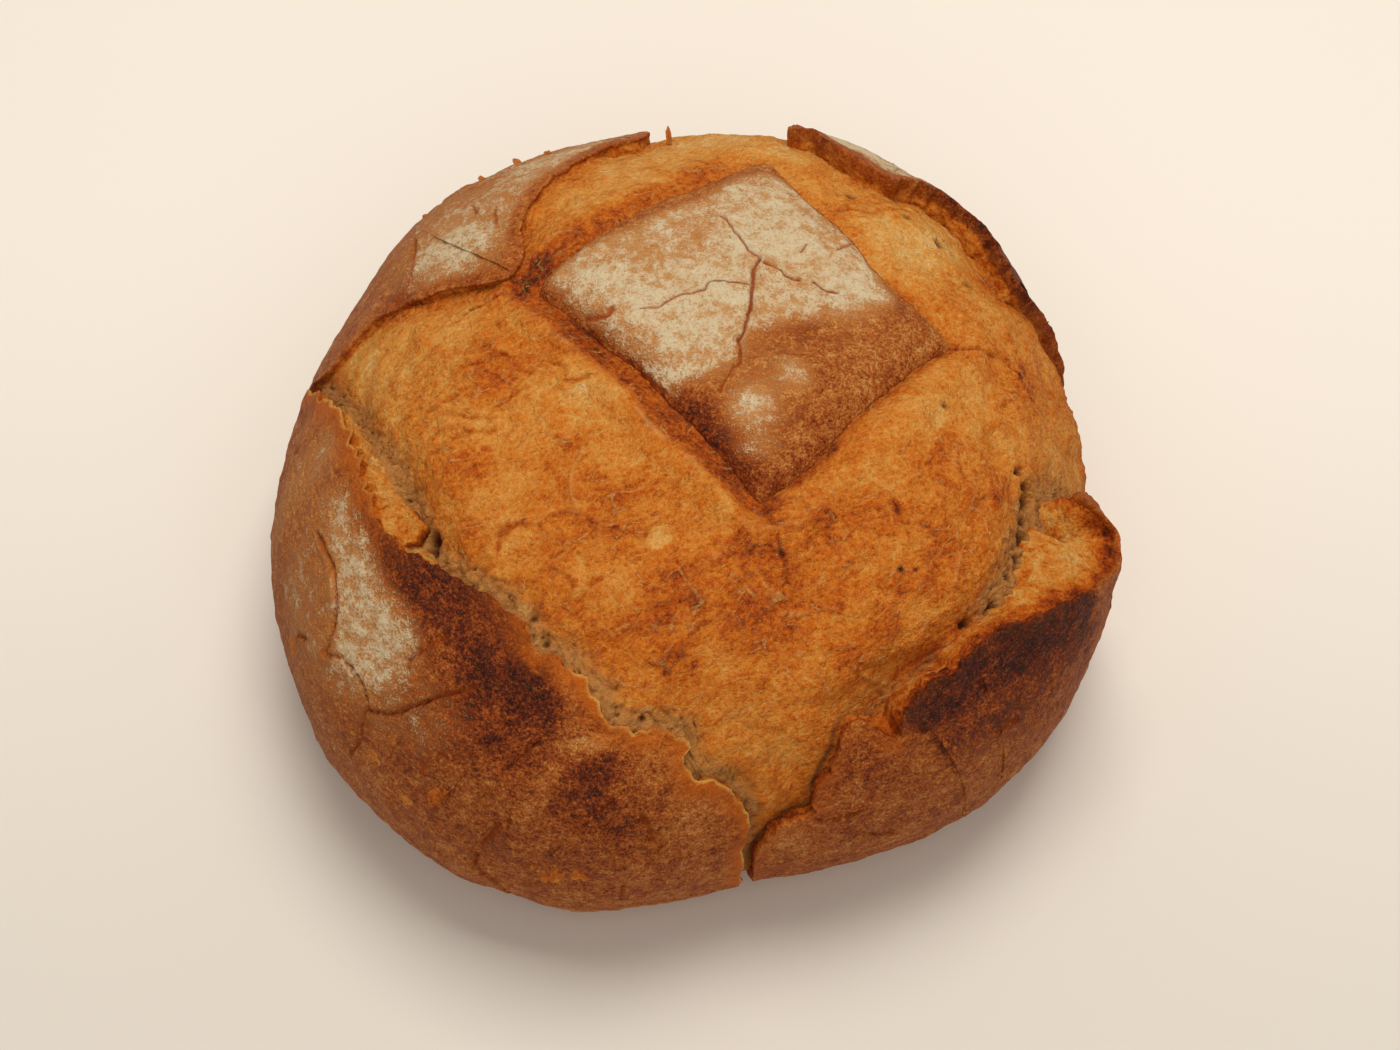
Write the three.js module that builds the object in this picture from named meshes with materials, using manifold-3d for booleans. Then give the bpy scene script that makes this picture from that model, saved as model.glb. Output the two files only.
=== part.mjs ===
// A round country loaf that burst in the oven: new crumb pushed the old crust apart into four flaps and a crown.
// Millimetres, +Z up. It rests on its flat underside at z = 0, and the side towards the camera is -Y.
// A place on the loaf is a bearing, degrees round it from +X, and a reach, millimetres over the crust from the top.
// The stand of a point is how far it is proud of the smooth loaf there.

import * as THREE from "three";
import Module from "manifold-3d";
import { ParametricGeometry } from "three/addons/geometries/ParametricGeometry.js";
import { mergeVertices } from "three/addons/utils/BufferGeometryUtils.js";

const wasm = await Module();
wasm.setup();

// The smooth loaf: a full dome down to its widest ring, then a round under-edge to the flat underside.
const loafRadius = 121.5;
const loafHeight = 119;
const widestAt = 40;
const underEdge = 28;
const fullness = 2.2;
const planWaves = [[2, -1.1, 2.6], [3, 0.8, -2.6], [4, -2.5, -1.9]];
const planBulges = [[122, 14, 2.4], [153, 9, -2], [190, 14, 3], [226, 10, -1.5], [257, 9, 3], [281, 8, -2.5]];

// The crust flaps.
const rimThickness = 1.8;
const flapStand = 2.4;
const standFade = 20;
const rootDepth = 8;
const flapDepth = 10;
const hemReach = 206;
const hemFade = 26;
const hemDepth = 2;

// Each row of a torn edge: bearing, reach, stand, curl and dip. The curl is how far the torn face runs back
// under the crust, or out over the crumb where it is below zero. The dip is how deep the crumb lies beside it.
const frontLeftEdge = [
  [167, 206, 3, 1, 0], [166.5, 165, 3, 1, 1], [167.7, 140, 3, 1, 2], [172, 121, 4, 2, 2.5], [176.7, 110.8, 4.5, 2, 3],
  [180.7, 102, 5, 1, 3.5], [186, 97.6, 5.5, -1, 3.5], [192.3, 92.8, 6, -3, 4], [197.7, 91.8, 6, -5, 4.5],
  [207.3, 90.8, 5.5, -6, 5], [213, 88.4, 5, -3, 4.5], [218, 85.4, 3, 0, 3], [225.7, 83, 2.4, 1, 1.6],
  [234.7, 80.5, 2.2, 1, 1.4], [243.3, 85.9, 2.2, 1, 1.4], [248, 86.9, 2, 1, 1.2], [255.3, 94.2, 2, 1, 1.2],
  [257.3, 99.6, 2, 1, 1], [261.3, 103.5, 1.8, 1, 1], [268.7, 107.4, 1.8, 1, 1], [270.7, 120.1, 1.8, 1, 1],
  [274, 123, 1.8, 1, 1], [278, 135.7, 2, 1, 1.5], [277.7, 152.8, 2.4, 0.5, 2], [277, 175, 3, 0.5, 1],
  [276.5, 206, 3, 0.5, 0],
];
const frontRightEdge = [
  [279.5, 206, 3, 0.5, 0], [279.2, 175, 3, 0.5, 1], [279.4, 156, 3, 1, 2], [283.3, 144, 3, 1, 3], [288, 140.1, 3.5, 1, 3],
  [288.3, 132.8, 4, 1.5, 3], [291.7, 122, 4, 2, 3], [293.3, 116.2, 4, 2, 3.5], [296, 113.3, 4, 1.5, 4.5],
  [299, 118.1, 3.5, 0, 6], [301.3, 120.5, 4.5, 0, 7], [302.7, 113.7, 8, 2, 6.5], [307.7, 109.8, 8, 2, 6],
  [311.7, 110.5, 8, 1, 6], [314.3, 107.9, 8, 0, 5], [320.3, 108.9, 8.5, -2, 4], [325, 112.8, 10, -5, 4],
  [330.3, 117.2, 12.5, -9, 4], [334.7, 121.3, 14.5, -14, 4], [338, 125, 15, -17, 4], [341.2, 127.5, 15, -18, 4.5],
  [344, 126.5, 14.5, -14, 4.5], [345.5, 121, 13, -7, 4], [346.4, 116.5, 10.5, -3, 3.5], [348.5, 117, 7, -1, 3],
  [351, 126, 5.5, 0, 2.5], [352, 142, 4.5, 0, 2], [352.5, 175, 4, 1, 1], [353, 206, 3, 1, 0],
];
const backRightEdge = [
  [17, 206, 3, 1, 0], [18, 178, 3.5, 1, 1], [19.5, 158, 4, 1, 1], [21.5, 145, 4.5, 1, 1], [23, 134, 5, 1.5, 1],
  [24, 121, 6, 2, 1.5], [26.7, 112, 7.5, 2.5, 2], [33, 112.3, 8, 2.5, 2], [37.3, 110.3, 9, 2.5, 2],
  [43, 110.3, 8, 2, 1.5], [47.7, 108.4, 7, 2, 1.5], [50, 101.5, 6.5, 2.5, 2], [52.7, 95.7, 6, 2, 1],
  [57.3, 93.7, 6.5, 2, 1], [61, 95.7, 7, 2.5, 1], [64.7, 97.1, 7, 2.5, 1], [69, 102, 7.5, 2, 1], [72.3, 104, 6, 1.5, 1],
  [73.2, 112, 5.5, 1, 1], [73.5, 135, 4.5, 1, 1], [73, 170, 4, 1, 1], [72, 206, 3, 1, 0],
];
const backLeftEdge = [
  [95, 206, 3, 1, 0], [96, 165, 3, 1, 1], [96.5, 130, 3, 1, 1], [97.5, 108, 2.5, 0.5, 1], [101.7, 104.5, 2.5, 0.5, 1],
  [106, 100.1, 2.5, 0.5, 1], [118.7, 85.9, 2.5, 0.5, 1], [131.3, 73.2, 2.5, 0.5, 1], [136.7, 64.9, 2.5, 0.5, 1],
  [144, 61.5, 2.5, 0.5, 1], [147.3, 64.4, 2, 1, 1.5], [153.3, 82, 2, 1, 1], [156.3, 92, 2, 0.5, 1], [160, 105.9, 2, 0.5, 1],
  [167, 120, 2, 0.5, 1], [166, 138, 2.5, 1, 1], [164, 165, 3, 1, 1], [163, 206, 3, 1, 0],
];

// The crown: a square of old crust left on top, its corners given as places in the chart below.
const crownCorners = [[-45, 30.5], [21, -43.8], [81, 18.2], [22.8, 85]];
const crownBows = [2.8, 2.4, 5.6, -1.4];
const crownCentre = [17.4, 23.2];
const crownRound = 0.06;
const crownRise = 1.8;
const crownThickness = 9;
// Beside each side of the crown the crumb dips into a moat and then rises to a ridge: depth, width, height.
const crownSides = [[3.6, 6, 3], [3.2, 4, 1.5], [1.2, 5, 0.3], [1.4, 6, 0.6]];
const ridgeOut = 9.5;
const ridgeWidth = 5;
// Hollows in the crumb: bearing, reach, radius and depth.
const hollows = [[357, 140, 22, 3.5], [300, 112, 14, 2]];

// Cracks in the old crust, each with its width, its depth and its places.
const cracks = [
  [2.2, 2.2, [[80, 53.2], [71, 44.9], [60, 39.5], [58, 33.2], [46, 24.9], [32.3, 18.6], [12.3, 15.1], [344.3, 12.7]]],
  [2, 2, [[58, 39.1], [47, 39.5], [39, 45.4], [32, 49.8]]],
  [1.8, 1.8, [[55, 29.8], [70, 27.3], [86.3, 22], [103.3, 20.5], [126.7, 21.5]]],
  [2.2, 2.2, [[148, 34.6], [148.5, 32.7], [144, 27.5], [140, 27.3]]],
  [2, 2, [[199.3, 112.3], [207.3, 110.8], [213.7, 122], [216.3, 122.5], [221.7, 123], [223.7, 133.3], [223.3, 146.9]]],
  [2, 2, [[223.7, 127.9], [229.3, 118.1], [232.3, 110.3], [237, 102.5]]],
  [1.8, 1.8, [[247.3, 133.8], [244, 147.4], [243, 158.6], [247, 172.8]]],
  [1.8, 1.8, [[144.7, 105], [154.3, 99.1], [157, 98.6]]],
];

// Blisters and lumps: bearing, reach, half length, half width, height and turn.
const lumps = [
  [207, 84, 8, 5, 6, 20], [217, 73.7, 12, 7, 2.5, 40], [240, 72.3, 9, 6, 2, 70], [237.7, 60, 10, 6, 2, 10],
  [263.3, 51.3, 11, 7, 2.2, 60], [301.3, 104, 11, 8, 2.5, 30], [147, 27, 10, 6, 2, 60],
];

// Flakes of crust that stand up from a torn edge: bearing, reach, length, height and turn.
const flakes = [
  [93.3, 104, 8, 3.5, 20], [118, 118, 7, 3, 50], [134.7, 122, 6, 2.5, 40], [208, 91, 10, 4, 110], [24, 134, 7, 4, 110],
];
const flakeThickness = 2.6;

const radians = THREE.MathUtils.degToRad;
const smooth = THREE.MathUtils.smoothstep;
const mix = THREE.MathUtils.lerp;

// Distance from the axis to the widest ring at a bearing.
function planRadius(angle) {
  let radius = loafRadius;
  for (const [waves, even, odd] of planWaves) {
    radius += even * Math.cos(waves * angle) + odd * Math.sin(waves * angle);
  }
  for (const [bearing, width, amount] of planBulges) {
    const apart = THREE.MathUtils.euclideanModulo(THREE.MathUtils.radToDeg(angle) - bearing + 180, 360) - 180;
    radius += amount * Math.exp(-((apart / width) ** 2));
  }
  return radius;
}

// Side outline of the smooth loaf: 0 is the top, 1 the widest ring and 2 the edge of the underside.
function outline(place, radius) {
  if (place <= 1) {
    const angle = place * Math.PI / 2;
    const power = 2 / fullness;
    const height = widestAt + (loafHeight - widestAt) * Math.max(Math.cos(angle), 0) ** power;
    return [radius * Math.sin(angle) ** power, height];
  }
  const angle = (place - 1) * Math.PI / 2;
  return [radius - underEdge + underEdge * Math.cos(angle), widestAt * (1 - Math.sin(angle))];
}

// Length over the crust at even places of the outline, and its inverse.
const outlineSteps = 800;
const outlineLengths = [0];
for (let step = 1; step <= outlineSteps; step += 1) {
  const [r0, z0] = outline(2 * (step - 1) / outlineSteps, loafRadius);
  const [r1, z1] = outline(2 * step / outlineSteps, loafRadius);
  outlineLengths.push(outlineLengths[step - 1] + Math.hypot(r1 - r0, z1 - z0));
}
const reachEnd = outlineLengths[outlineSteps];

function outlinePlace(reach) {
  if (reach >= reachEnd) return 2;
  let low = 0;
  let high = outlineSteps;
  while (high - low > 1) {
    const middle = (low + high) >> 1;
    if (outlineLengths[middle] <= reach) low = middle;
    else high = middle;
  }
  const share = (reach - outlineLengths[low]) / (outlineLengths[high] - outlineLengths[low]);
  return 2 * (low + share) / outlineSteps;
}

// The chart spreads the crust flat: reach times the cosine and sine of the bearing.
function chart(bearing, reach) {
  return [reach * Math.cos(radians(bearing)), reach * Math.sin(radians(bearing))];
}

function smoothPoint(a, b) {
  const angle = Math.atan2(b, a);
  const [radius, height] = outline(outlinePlace(Math.hypot(a, b)), planRadius(angle));
  return new THREE.Vector3(radius * Math.cos(angle), radius * Math.sin(angle), height);
}

// The point at a chart place that stands proud of the smooth loaf by a distance.
function skin(a, b, stand) {
  const reach = Math.hypot(a, b);
  const inward = Math.min(1, (reachEnd - 1.5) / Math.max(reach, 1));
  const [ca, cb] = [a * inward, b * inward];
  const alongA = smoothPoint(ca + 0.7, cb).sub(smoothPoint(ca - 0.7, cb));
  const alongB = smoothPoint(ca, cb + 0.7).sub(smoothPoint(ca, cb - 0.7));
  const normal = alongA.cross(alongB).normalize();
  return smoothPoint(a, b).addScaledVector(normal, stand);
}

// A curve through rows of numbers, read at a share of its length in the chart.
function curveThrough(rows) {
  const lengths = [0];
  for (let i = 1; i < rows.length; i += 1) {
    lengths.push(lengths[i - 1] + Math.hypot(rows[i][0] - rows[i - 1][0], rows[i][1] - rows[i - 1][1]));
  }
  const total = lengths[rows.length - 1];
  return (share) => {
    const wanted = THREE.MathUtils.clamp(share, 0, 1) * total;
    let i = 0;
    while (i < rows.length - 2 && lengths[i + 1] < wanted) i += 1;
    const t = (wanted - lengths[i]) / (lengths[i + 1] - lengths[i]);
    const before = rows[Math.max(i - 1, 0)];
    const after = rows[Math.min(i + 2, rows.length - 1)];
    return rows[i].map((p1, k) => {
      const [p0, p2, p3] = [before[k], rows[i + 1][k], after[k]];
      const slope = p2 - p0;
      const bend = 2 * p0 - 5 * p1 + 4 * p2 - p3;
      const twist = 3 * p1 - p0 - 3 * p2 + p3;
      return p1 + 0.5 * (slope * t + bend * t * t + twist * t * t * t);
    });
  };
}

// The way from an edge into the old crust, square to it: its tangent turned right.
function into(at, share) {
  const [before, after] = [at(share - 0.01), at(share + 0.01)];
  const length = Math.hypot(after[0] - before[0], after[1] - before[1]);
  return [(after[1] - before[1]) / length, -(after[0] - before[0]) / length];
}

function tornEdge(rows) {
  const inChart = rows.map(([bearing, reach, ...rest]) => [...chart(bearing, reach), ...rest]);
  const at = curveThrough(inChart);
  const samples = Array.from({ length: 61 }, (_, i) => {
    const [a, b, , curl, dip] = at(i / 60);
    const [intoA, intoB] = into(at, i / 60);
    const out = Math.min(curl, 0);
    return [a + out * intoA, b + out * intoB, dip];
  });
  return { at, samples, hemFrom: rows[0][0], hemTo: rows[rows.length - 1][0] };
}

const edges = {
  frontLeft: tornEdge(frontLeftEdge),
  frontRight: tornEdge(frontRightEdge),
  backRight: tornEdge(backRightEdge),
  backLeft: tornEdge(backLeftEdge),
};

// How far the crumb lies below the smooth loaf beside the torn edges.
function crevice(a, b) {
  let deepest = 0;
  for (const { samples } of Object.values(edges)) {
    for (const [pa, pb, dip] of samples) {
      const away = Math.hypot(a - pa, b - pb) / 9;
      deepest = Math.max(deepest, dip * Math.exp(-away * away));
    }
  }
  return deepest;
}

// The outline of the crown at a share of its way round: sides bowed towards its centre, with cut corners.
function crownEdge(share) {
  const side = Math.floor(share * 4) % 4;
  const t = share * 4 - Math.floor(share * 4);
  const [from, to] = [crownCorners[side], crownCorners[(side + 1) % 4]];
  const corner = Math.min(t, 1 - t) / crownRound;
  const pull = corner < 1 ? 0.02 * (1 - corner) ** 2 : 0;
  const bow = crownBows[side] * Math.sin(Math.PI * t) + 0.4 * Math.sin(5 * Math.PI * t + side);
  const length = Math.hypot(to[0] - from[0], to[1] - from[1]);
  const out = [-(to[1] - from[1]) / length, (to[0] - from[0]) / length];
  return [0, 1].map((k) => mix(mix(from[k], to[k], t) + bow * out[k], crownCentre[k], pull));
}

const crownSteps = 96;
const crownOutline = Array.from({ length: crownSteps }, (_, i) => crownEdge(i / crownSteps));

// Distance outside the crown's edge, below zero inside it, and the distance to each of its four sides.
function crownDistance(a, b) {
  const sides = [Infinity, Infinity, Infinity, Infinity];
  let inside = false;
  for (let i = 0; i < crownSteps; i += 1) {
    const [p, q] = [crownOutline[i], crownOutline[(i + 1) % crownSteps]];
    const [da, db] = [q[0] - p[0], q[1] - p[1]];
    const t = THREE.MathUtils.clamp(((a - p[0]) * da + (b - p[1]) * db) / (da * da + db * db), 0, 1);
    const side = Math.floor(4 * i / crownSteps);
    sides[side] = Math.min(sides[side], Math.hypot(a - p[0] - t * da, b - p[1] - t * db));
    if ((p[1] > b) !== (q[1] > b) && a < p[0] + da * (b - p[1]) / db) inside = !inside;
  }
  const nearest = Math.min(...sides);
  return [inside ? -nearest : nearest, sides];
}

// Depth and width of the moat and height of the ridge at a place, blended between the nearest sides.
function besideCrown(sides) {
  const nearest = Math.min(...sides);
  const weights = sides.map((away) => Math.exp(-(away - nearest) / 4));
  const total = weights.reduce((sum, weight) => sum + weight, 0);
  return [0, 1, 2].map((k) => weights.reduce((sum, weight, i) => sum + weight * crownSides[i][k], 0) / total);
}

// Slow unevenness of dough that swelled freely.
function unevenness(a, b) {
  return 0.9 * Math.sin(a / 11 + 1.3 * Math.sin(b / 17)) * Math.sin(b / 13 + 0.7) + 0.6 * Math.sin((a + b) / 19);
}

function crumbStand(a, b) {
  const [out, sides] = crownDistance(a, b);
  const [moatDepth, moatWidth, ridgeHeight] = besideCrown(sides);
  const moat = moatDepth * Math.exp(-((Math.max(out, 0) / moatWidth) ** 2));
  const ridge = ridgeHeight * Math.exp(-(((out - ridgeOut) / ridgeWidth) ** 2));
  const settled = 1 - smooth(Math.hypot(a, b), 150, 190);
  let hollow = 0;
  for (const [bearing, reach, radius, depth] of hollows) {
    const [ha, hb] = chart(bearing, reach);
    hollow += depth * Math.exp(-((a - ha) ** 2 + (b - hb) ** 2) / radius ** 2);
  }
  return (unevenness(a, b) + ridge) * settled - moat - hollow - crevice(a, b);
}

// A closed solid from a point for each pair of shares, with its flat or pinched triangles dropped.
function solid(pointAt, columns, rows) {
  const geometry = mergeVertices(new ParametricGeometry(pointAt, columns, rows).deleteAttribute("uv")
    .deleteAttribute("normal"), 1e-3);
  const places = geometry.attributes.position.array;
  const index = geometry.index.array;
  const kept = [];
  let volume = 0;
  const corner = (i) => new THREE.Vector3().fromArray(places, 3 * i);
  for (let i = 0; i < index.length; i += 3) {
    const [p, q, r] = [index[i], index[i + 1], index[i + 2]];
    if (p === q || q === r || r === p) continue;
    kept.push([p, q, r]);
    volume += corner(p).dot(corner(q).cross(corner(r)));
  }
  const triangles = kept.map(([p, q, r]) => (volume > 0 ? [p, q, r] : [p, r, q])).flat();
  const mesh = new wasm.Mesh({
    numProp: 3,
    vertProperties: new Float32Array(places),
    triVerts: new Uint32Array(triangles),
  });
  mesh.merge();
  return new wasm.Manifold(mesh);
}

// The crumb and everything under the crust: crown to under-edge, then in to the middle of the flat underside.
function body() {
  const rows = 31;
  const undersideRows = 2;
  return solid((u, v, target) => {
    const row = Math.round(v * rows);
    if (row > rows - undersideRows) {
      const left = (rows - row) / undersideRows;
      const edge = smoothPoint(...chart(360 * u, reachEnd));
      target.set(edge.x * left, edge.y * left, 0);
      return;
    }
    const share = row / (rows - undersideRows);
    const reach = reachEnd * (0.62 * share + 0.38 * share * share);
    const [a, b] = chart(360 * u, reach);
    target.copy(skin(a, b, row === rows - undersideRows ? 0 : crumbStand(a, b)));
  }, 76, rows);
}

// The square of old crust on top: a low pillow, thick enough to sink into the crumb.
function crown() {
  const rows = 12;
  const topRows = 8;
  return solid((u, v, target) => {
    const row = Math.round(v * rows);
    const share = row <= topRows ? row / topRows : (rows - row) / (rows - topRows);
    const [a, b] = crownEdge(u % 1).map((p, k) => mix(crownCentre[k], p, share));
    const pillow = mix(crownRise + 0.4 * unevenness(a, b), crumbStand(a, b) + 0.3, share ** 6);
    target.copy(skin(a, b, row <= topRows ? pillow : -crownThickness));
  }, 48, rows);
}

// A flap of old crust: its torn edge swept down to the hem, with a rim, a torn face and a root inside the crumb.
function flap(edge, columns) {
  const outerRows = 7;
  const rows = outerRows + 7;
  const hem = (reach) => 1 - smooth(reach, hemReach - hemFade, hemReach);
  return solid((u, v, target) => {
    const row = Math.round(v * rows) % rows;
    const [la, lb, lipStand, curl] = edge.at(u);
    if (u < 1e-6 || u > 1 - 1e-6) {
      target.copy(skin(la, lb, -hemDepth - 1));
      return;
    }
    const [intoA, intoB] = into(edge.at, u);
    const [ha, hb] = chart(mix(edge.hemFrom, edge.hemTo, u), hemReach);
    const span = Math.hypot(ha - la, hb - lb);
    const lipHem = hem(Math.hypot(la, lb));
    const lip = mix(-hemDepth, lipStand, lipHem);
    const aside = (distance) => [la + intoA * distance, lb + intoB * distance];
    // The way from the lip to the hem leaves the torn edge squarely and meets the hem squarely.
    const down = (t) => {
      const [t2, t3] = [t * t, t * t * t];
      const [start, leave, arrive] = [2 * t3 - 3 * t2 + 1, t3 - 2 * t2 + t, t3 - t2];
      const pull = 0.8 * span;
      const a = start * la + (1 - start) * ha + pull * (leave * intoA + arrive * ha / hemReach);
      const b = start * lb + (1 - start) * hb + pull * (leave * intoB + arrive * hb / hemReach);
      return [a, b];
    };
    const root = aside(curl * lipHem);
    const rimFoot = lip - Math.min(rimThickness, lip + hemDepth);
    if (row === 0) {
      target.copy(skin(...root, -rootDepth));
    } else if (row === 1) {
      target.copy(skin(...aside(0.5 * curl * lipHem + 0.3), mix(-rootDepth, rimFoot, 0.62)));
    } else if (row === 2) {
      target.copy(skin(...aside(0.6 * lipHem), rimFoot - 0.3));
    } else if (row <= 3 + outerRows) {
      const t = ((row - 3) / outerRows) ** 1.35;
      const [a, b] = down(t);
      const proud = flapStand + (lipStand - flapStand) * Math.exp(-t * span / standFade);
      const swell = 0.5 * unevenness(a + 40, b) * Math.min(1, 3 * t);
      target.copy(skin(a, b, mix(-hemDepth, proud + swell, hem(Math.hypot(a, b)))));
    } else {
      const t = 1 - (row - 4 - outerRows) / (rows - 4 - outerRows);
      target.copy(skin(...down(t), -flapDepth));
    }
  }, columns, rows);
}

// A low dome of crumb or crust.
function lump([bearing, reach, halfLength, halfWidth, height, turn]) {
  const [a, b] = chart(bearing, reach);
  const [cos, sin] = [Math.cos(radians(turn)), Math.sin(radians(turn))];
  const ground = crownDistance(a, b)[0] < 0 ? crownRise - 0.5 : crumbStand(a, b);
  return solid((u, v, target) => {
    const [round, rise] = [2 * Math.PI * u, Math.PI * (v - 0.5)];
    const along = halfLength * Math.cos(round) * Math.cos(rise);
    const across = halfWidth * Math.sin(round) * Math.cos(rise);
    target.copy(skin(a + along * cos - across * sin, b + along * sin + across * cos, ground + height * Math.sin(rise)));
  }, 12, 8);
}

// A flake of crust on edge, thin at its top and sunk at its foot.
function flake([bearing, reach, length, height, turn]) {
  const [a, b] = chart(bearing, reach);
  const [cos, sin] = [Math.cos(radians(turn)), Math.sin(radians(turn))];
  const section = [[-0.5, -1], [0.5, -1], [0.25, 1], [-0.25, 1], [-0.5, -1]];
  return solid((u, v, target) => {
    const [side, level] = section[Math.round(v * 4)];
    const end = Math.sin(Math.PI * Math.min(Math.max(u, 0), 1));
    const along = (u - 0.5) * length;
    const across = side * flakeThickness * end;
    const stand = level > 0 ? flapStand - 2 + height * end : -4 * end - 2 + flapStand;
    target.copy(skin(a + along * cos - across * sin, b + along * sin + across * cos, stand));
  }, 8, 4);
}

// A groove along a crack: a wedge whose point is under the crust.
function groove([width, depth, places]) {
  const at = curveThrough(places.map(([bearing, reach]) => chart(bearing, reach)));
  const corners = [[-1, 6], [1, 6], [0, 0], [-1, 6]];
  return solid((u, v, target) => {
    const [before, after] = [at(u - 0.02), at(u + 0.02)];
    const length = Math.hypot(after[0] - before[0], after[1] - before[1]);
    const [side, top] = corners[Math.round(v * 3)];
    const [a, b] = at(u);
    const taper = Math.sin(Math.PI * THREE.MathUtils.clamp(u, 0.0, 1)) ** 0.5;
    const spread = 0.5 * width * side * taper * (1 + 6 / depth);
    const crust = crownDistance(a, b)[0] < 0 ? crownRise : flapStand;
    const stand = top > 0 ? crust + 6 : crust + 6 - (6 + depth) * taper;
    const across = [(after[1] - before[1]) / length, -(after[0] - before[0]) / length];
    target.copy(skin(a + across[0] * spread, b + across[1] * spread, stand));
  }, 2 * places.length, 3);
}

const added = [
  crown(),
  flap(edges.frontLeft, 50),
  flap(edges.frontRight, 50),
  flap(edges.backRight, 40),
  flap(edges.backLeft, 38),
  ...lumps.map(lump),
  ...flakes.map(flake),
];
let whole = body();
for (const piece of added) {
  whole = whole.add(piece);
}
for (const crack of cracks) {
  whole = whole.subtract(groove(crack));
}

// Nothing reaches below the underside, and the pockets shut in under the flaps are filled with crumb.
const shells = whole.trimByPlane([0, 0, 1], 0).decompose();
const result = shells.reduce((best, shell) => (shell.volume() > best.volume() ? shell : best)).getMesh();
const geometry = new THREE.BufferGeometry();
geometry.setAttribute("position", new THREE.BufferAttribute(result.vertProperties, 3));
geometry.setIndex(new THREE.BufferAttribute(result.triVerts, 1));
geometry.computeVertexNormals();

const loaf = new THREE.Mesh(geometry, new THREE.MeshStandardMaterial({ color: "#b5773c", roughness: 0.8 }));
loaf.name = "loaf";

const group = new THREE.Group();
group.name = "country_loaf";
group.add(loaf);

export default group;
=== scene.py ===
import math
import bpy
import numpy as np
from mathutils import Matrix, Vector


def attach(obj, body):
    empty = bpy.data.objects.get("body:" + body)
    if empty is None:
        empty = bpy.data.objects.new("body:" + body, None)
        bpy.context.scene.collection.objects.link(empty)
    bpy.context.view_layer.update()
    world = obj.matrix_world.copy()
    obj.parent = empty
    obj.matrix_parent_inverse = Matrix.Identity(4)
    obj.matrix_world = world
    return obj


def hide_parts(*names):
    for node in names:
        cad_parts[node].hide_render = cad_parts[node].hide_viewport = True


# A round country loaf that burst in the oven. Shapes are worked out in millimetres and put into the mesh in
# metres. A place on the loaf is a bearing, degrees round it from +X, and a reach, millimetres over the
# crust from the top. The chart spreads the crust flat: a and b are the reach times the cosine and sine of
# the bearing. The stand of a point is how far it is proud of the smooth loaf.

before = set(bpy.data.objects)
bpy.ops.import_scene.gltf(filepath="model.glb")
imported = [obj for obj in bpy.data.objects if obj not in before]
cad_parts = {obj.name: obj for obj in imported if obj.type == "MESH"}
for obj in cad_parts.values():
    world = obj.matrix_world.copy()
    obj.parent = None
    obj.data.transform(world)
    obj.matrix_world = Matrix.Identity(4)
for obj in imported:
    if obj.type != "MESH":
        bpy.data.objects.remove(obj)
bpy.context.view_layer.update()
print("frame loaded")


# Noise and small helpers

# Keeps a length that is divided by above zero.
tiny = 1e-9


def latticeNoise(points, size, seed):
    # Gradient noise, scaled by 1.6 to about -1 to 1: a random direction at each corner of a lattice is
    # dotted with the way from that corner to the point, and the eight results are blended by 6t^5 - 15t^4 +
    # 10t^3 along each axis.
    rng = np.random.default_rng(seed)
    order = np.tile(rng.permutation(256), 2)
    ways = rng.normal(size=(256, 3))
    ways /= np.linalg.norm(ways, axis=1, keepdims=True)
    scaled = points.reshape(-1, 3) / size
    cell = np.floor(scaled).astype(int)
    t = scaled - cell
    ease = t * t * t * (t * (t * 6 - 15) + 10)
    total = np.zeros(len(scaled))
    for corner in np.ndindex(2, 2, 2):
        c = (cell + corner) & 255
        way = ways[order[order[order[c[:, 0]] + c[:, 1]] + c[:, 2]]]
        weight = np.prod(np.where(corner, ease, 1 - ease), axis=1)
        total += weight * ((t - corner) * way).sum(axis=1)
    return 1.6 * total.reshape(points.shape[:-1])


def cloudNoise(points, size, octaves, seed):
    # Sum of lattice noises, each half as large and half as strong as the one before.
    return sum(latticeNoise(points, size / 2**k, seed + k) / 2**k for k in range(octaves))


def ridgeNoise(points, size, octaves, seed):
    # Thin raised lines, 0 to 1: one minus the size of lattice noise, squared, over several octaves.
    parts = [(1 - np.minimum(1, 1.7 * np.abs(latticeNoise(points, size / 2**k, seed + k))))**2 / 2**k
             for k in range(octaves)]
    return sum(parts) / (2 - 2**(1 - octaves))


def ramp(value, low, high):
    # 0 below low, 1 above high, 3t^2 - 2t^3 between.
    t = np.clip((value - low) / (high - low), 0, 1)
    return t * t * (3 - 2 * t)


def mix(start, end, share):
    # Start plus a share of the way to the end.
    return start + (end - start) * share


def bell(away, width):
    # e^-(away / width)^2: 1 in the middle, 0.37 at the width.
    return np.exp(-(away / width)**2)


def turned(degrees):
    # Cosine and sine of an angle in degrees.
    return math.cos(math.radians(degrees)), math.sin(math.radians(degrees))


# The smooth loaf


loafForm = {
    "radius": 121.5,
    "height": 119.0,
    "widestAt": 40.0,
    "underEdge": 28.0,
    "fullness": 2.2,
    "planWaves": [(2, -1.1, 2.6), (3, 0.8, -2.6), (4, -2.5, -1.9)],
    "planBulges": [(122, 14, 2.4), (153, 9, -2), (190, 14, 3), (226, 10, -1.5), (257, 9, 3),
                   (281, 8, -2.5)],
}


def planRadius(angle):
    # Distance from the axis to the widest ring: a circle with a few slow waves and bell-shaped bulges.
    waves = [even * np.cos(k * angle) + odd * np.sin(k * angle) for k, even, odd in loafForm["planWaves"]]
    bulges = [amount * np.exp(-(((np.degrees(angle) - bearing + 180) % 360 - 180) / width)**2)
              for bearing, width, amount in loafForm["planBulges"]]
    return loafForm["radius"] + sum(waves) + sum(bulges)


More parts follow.
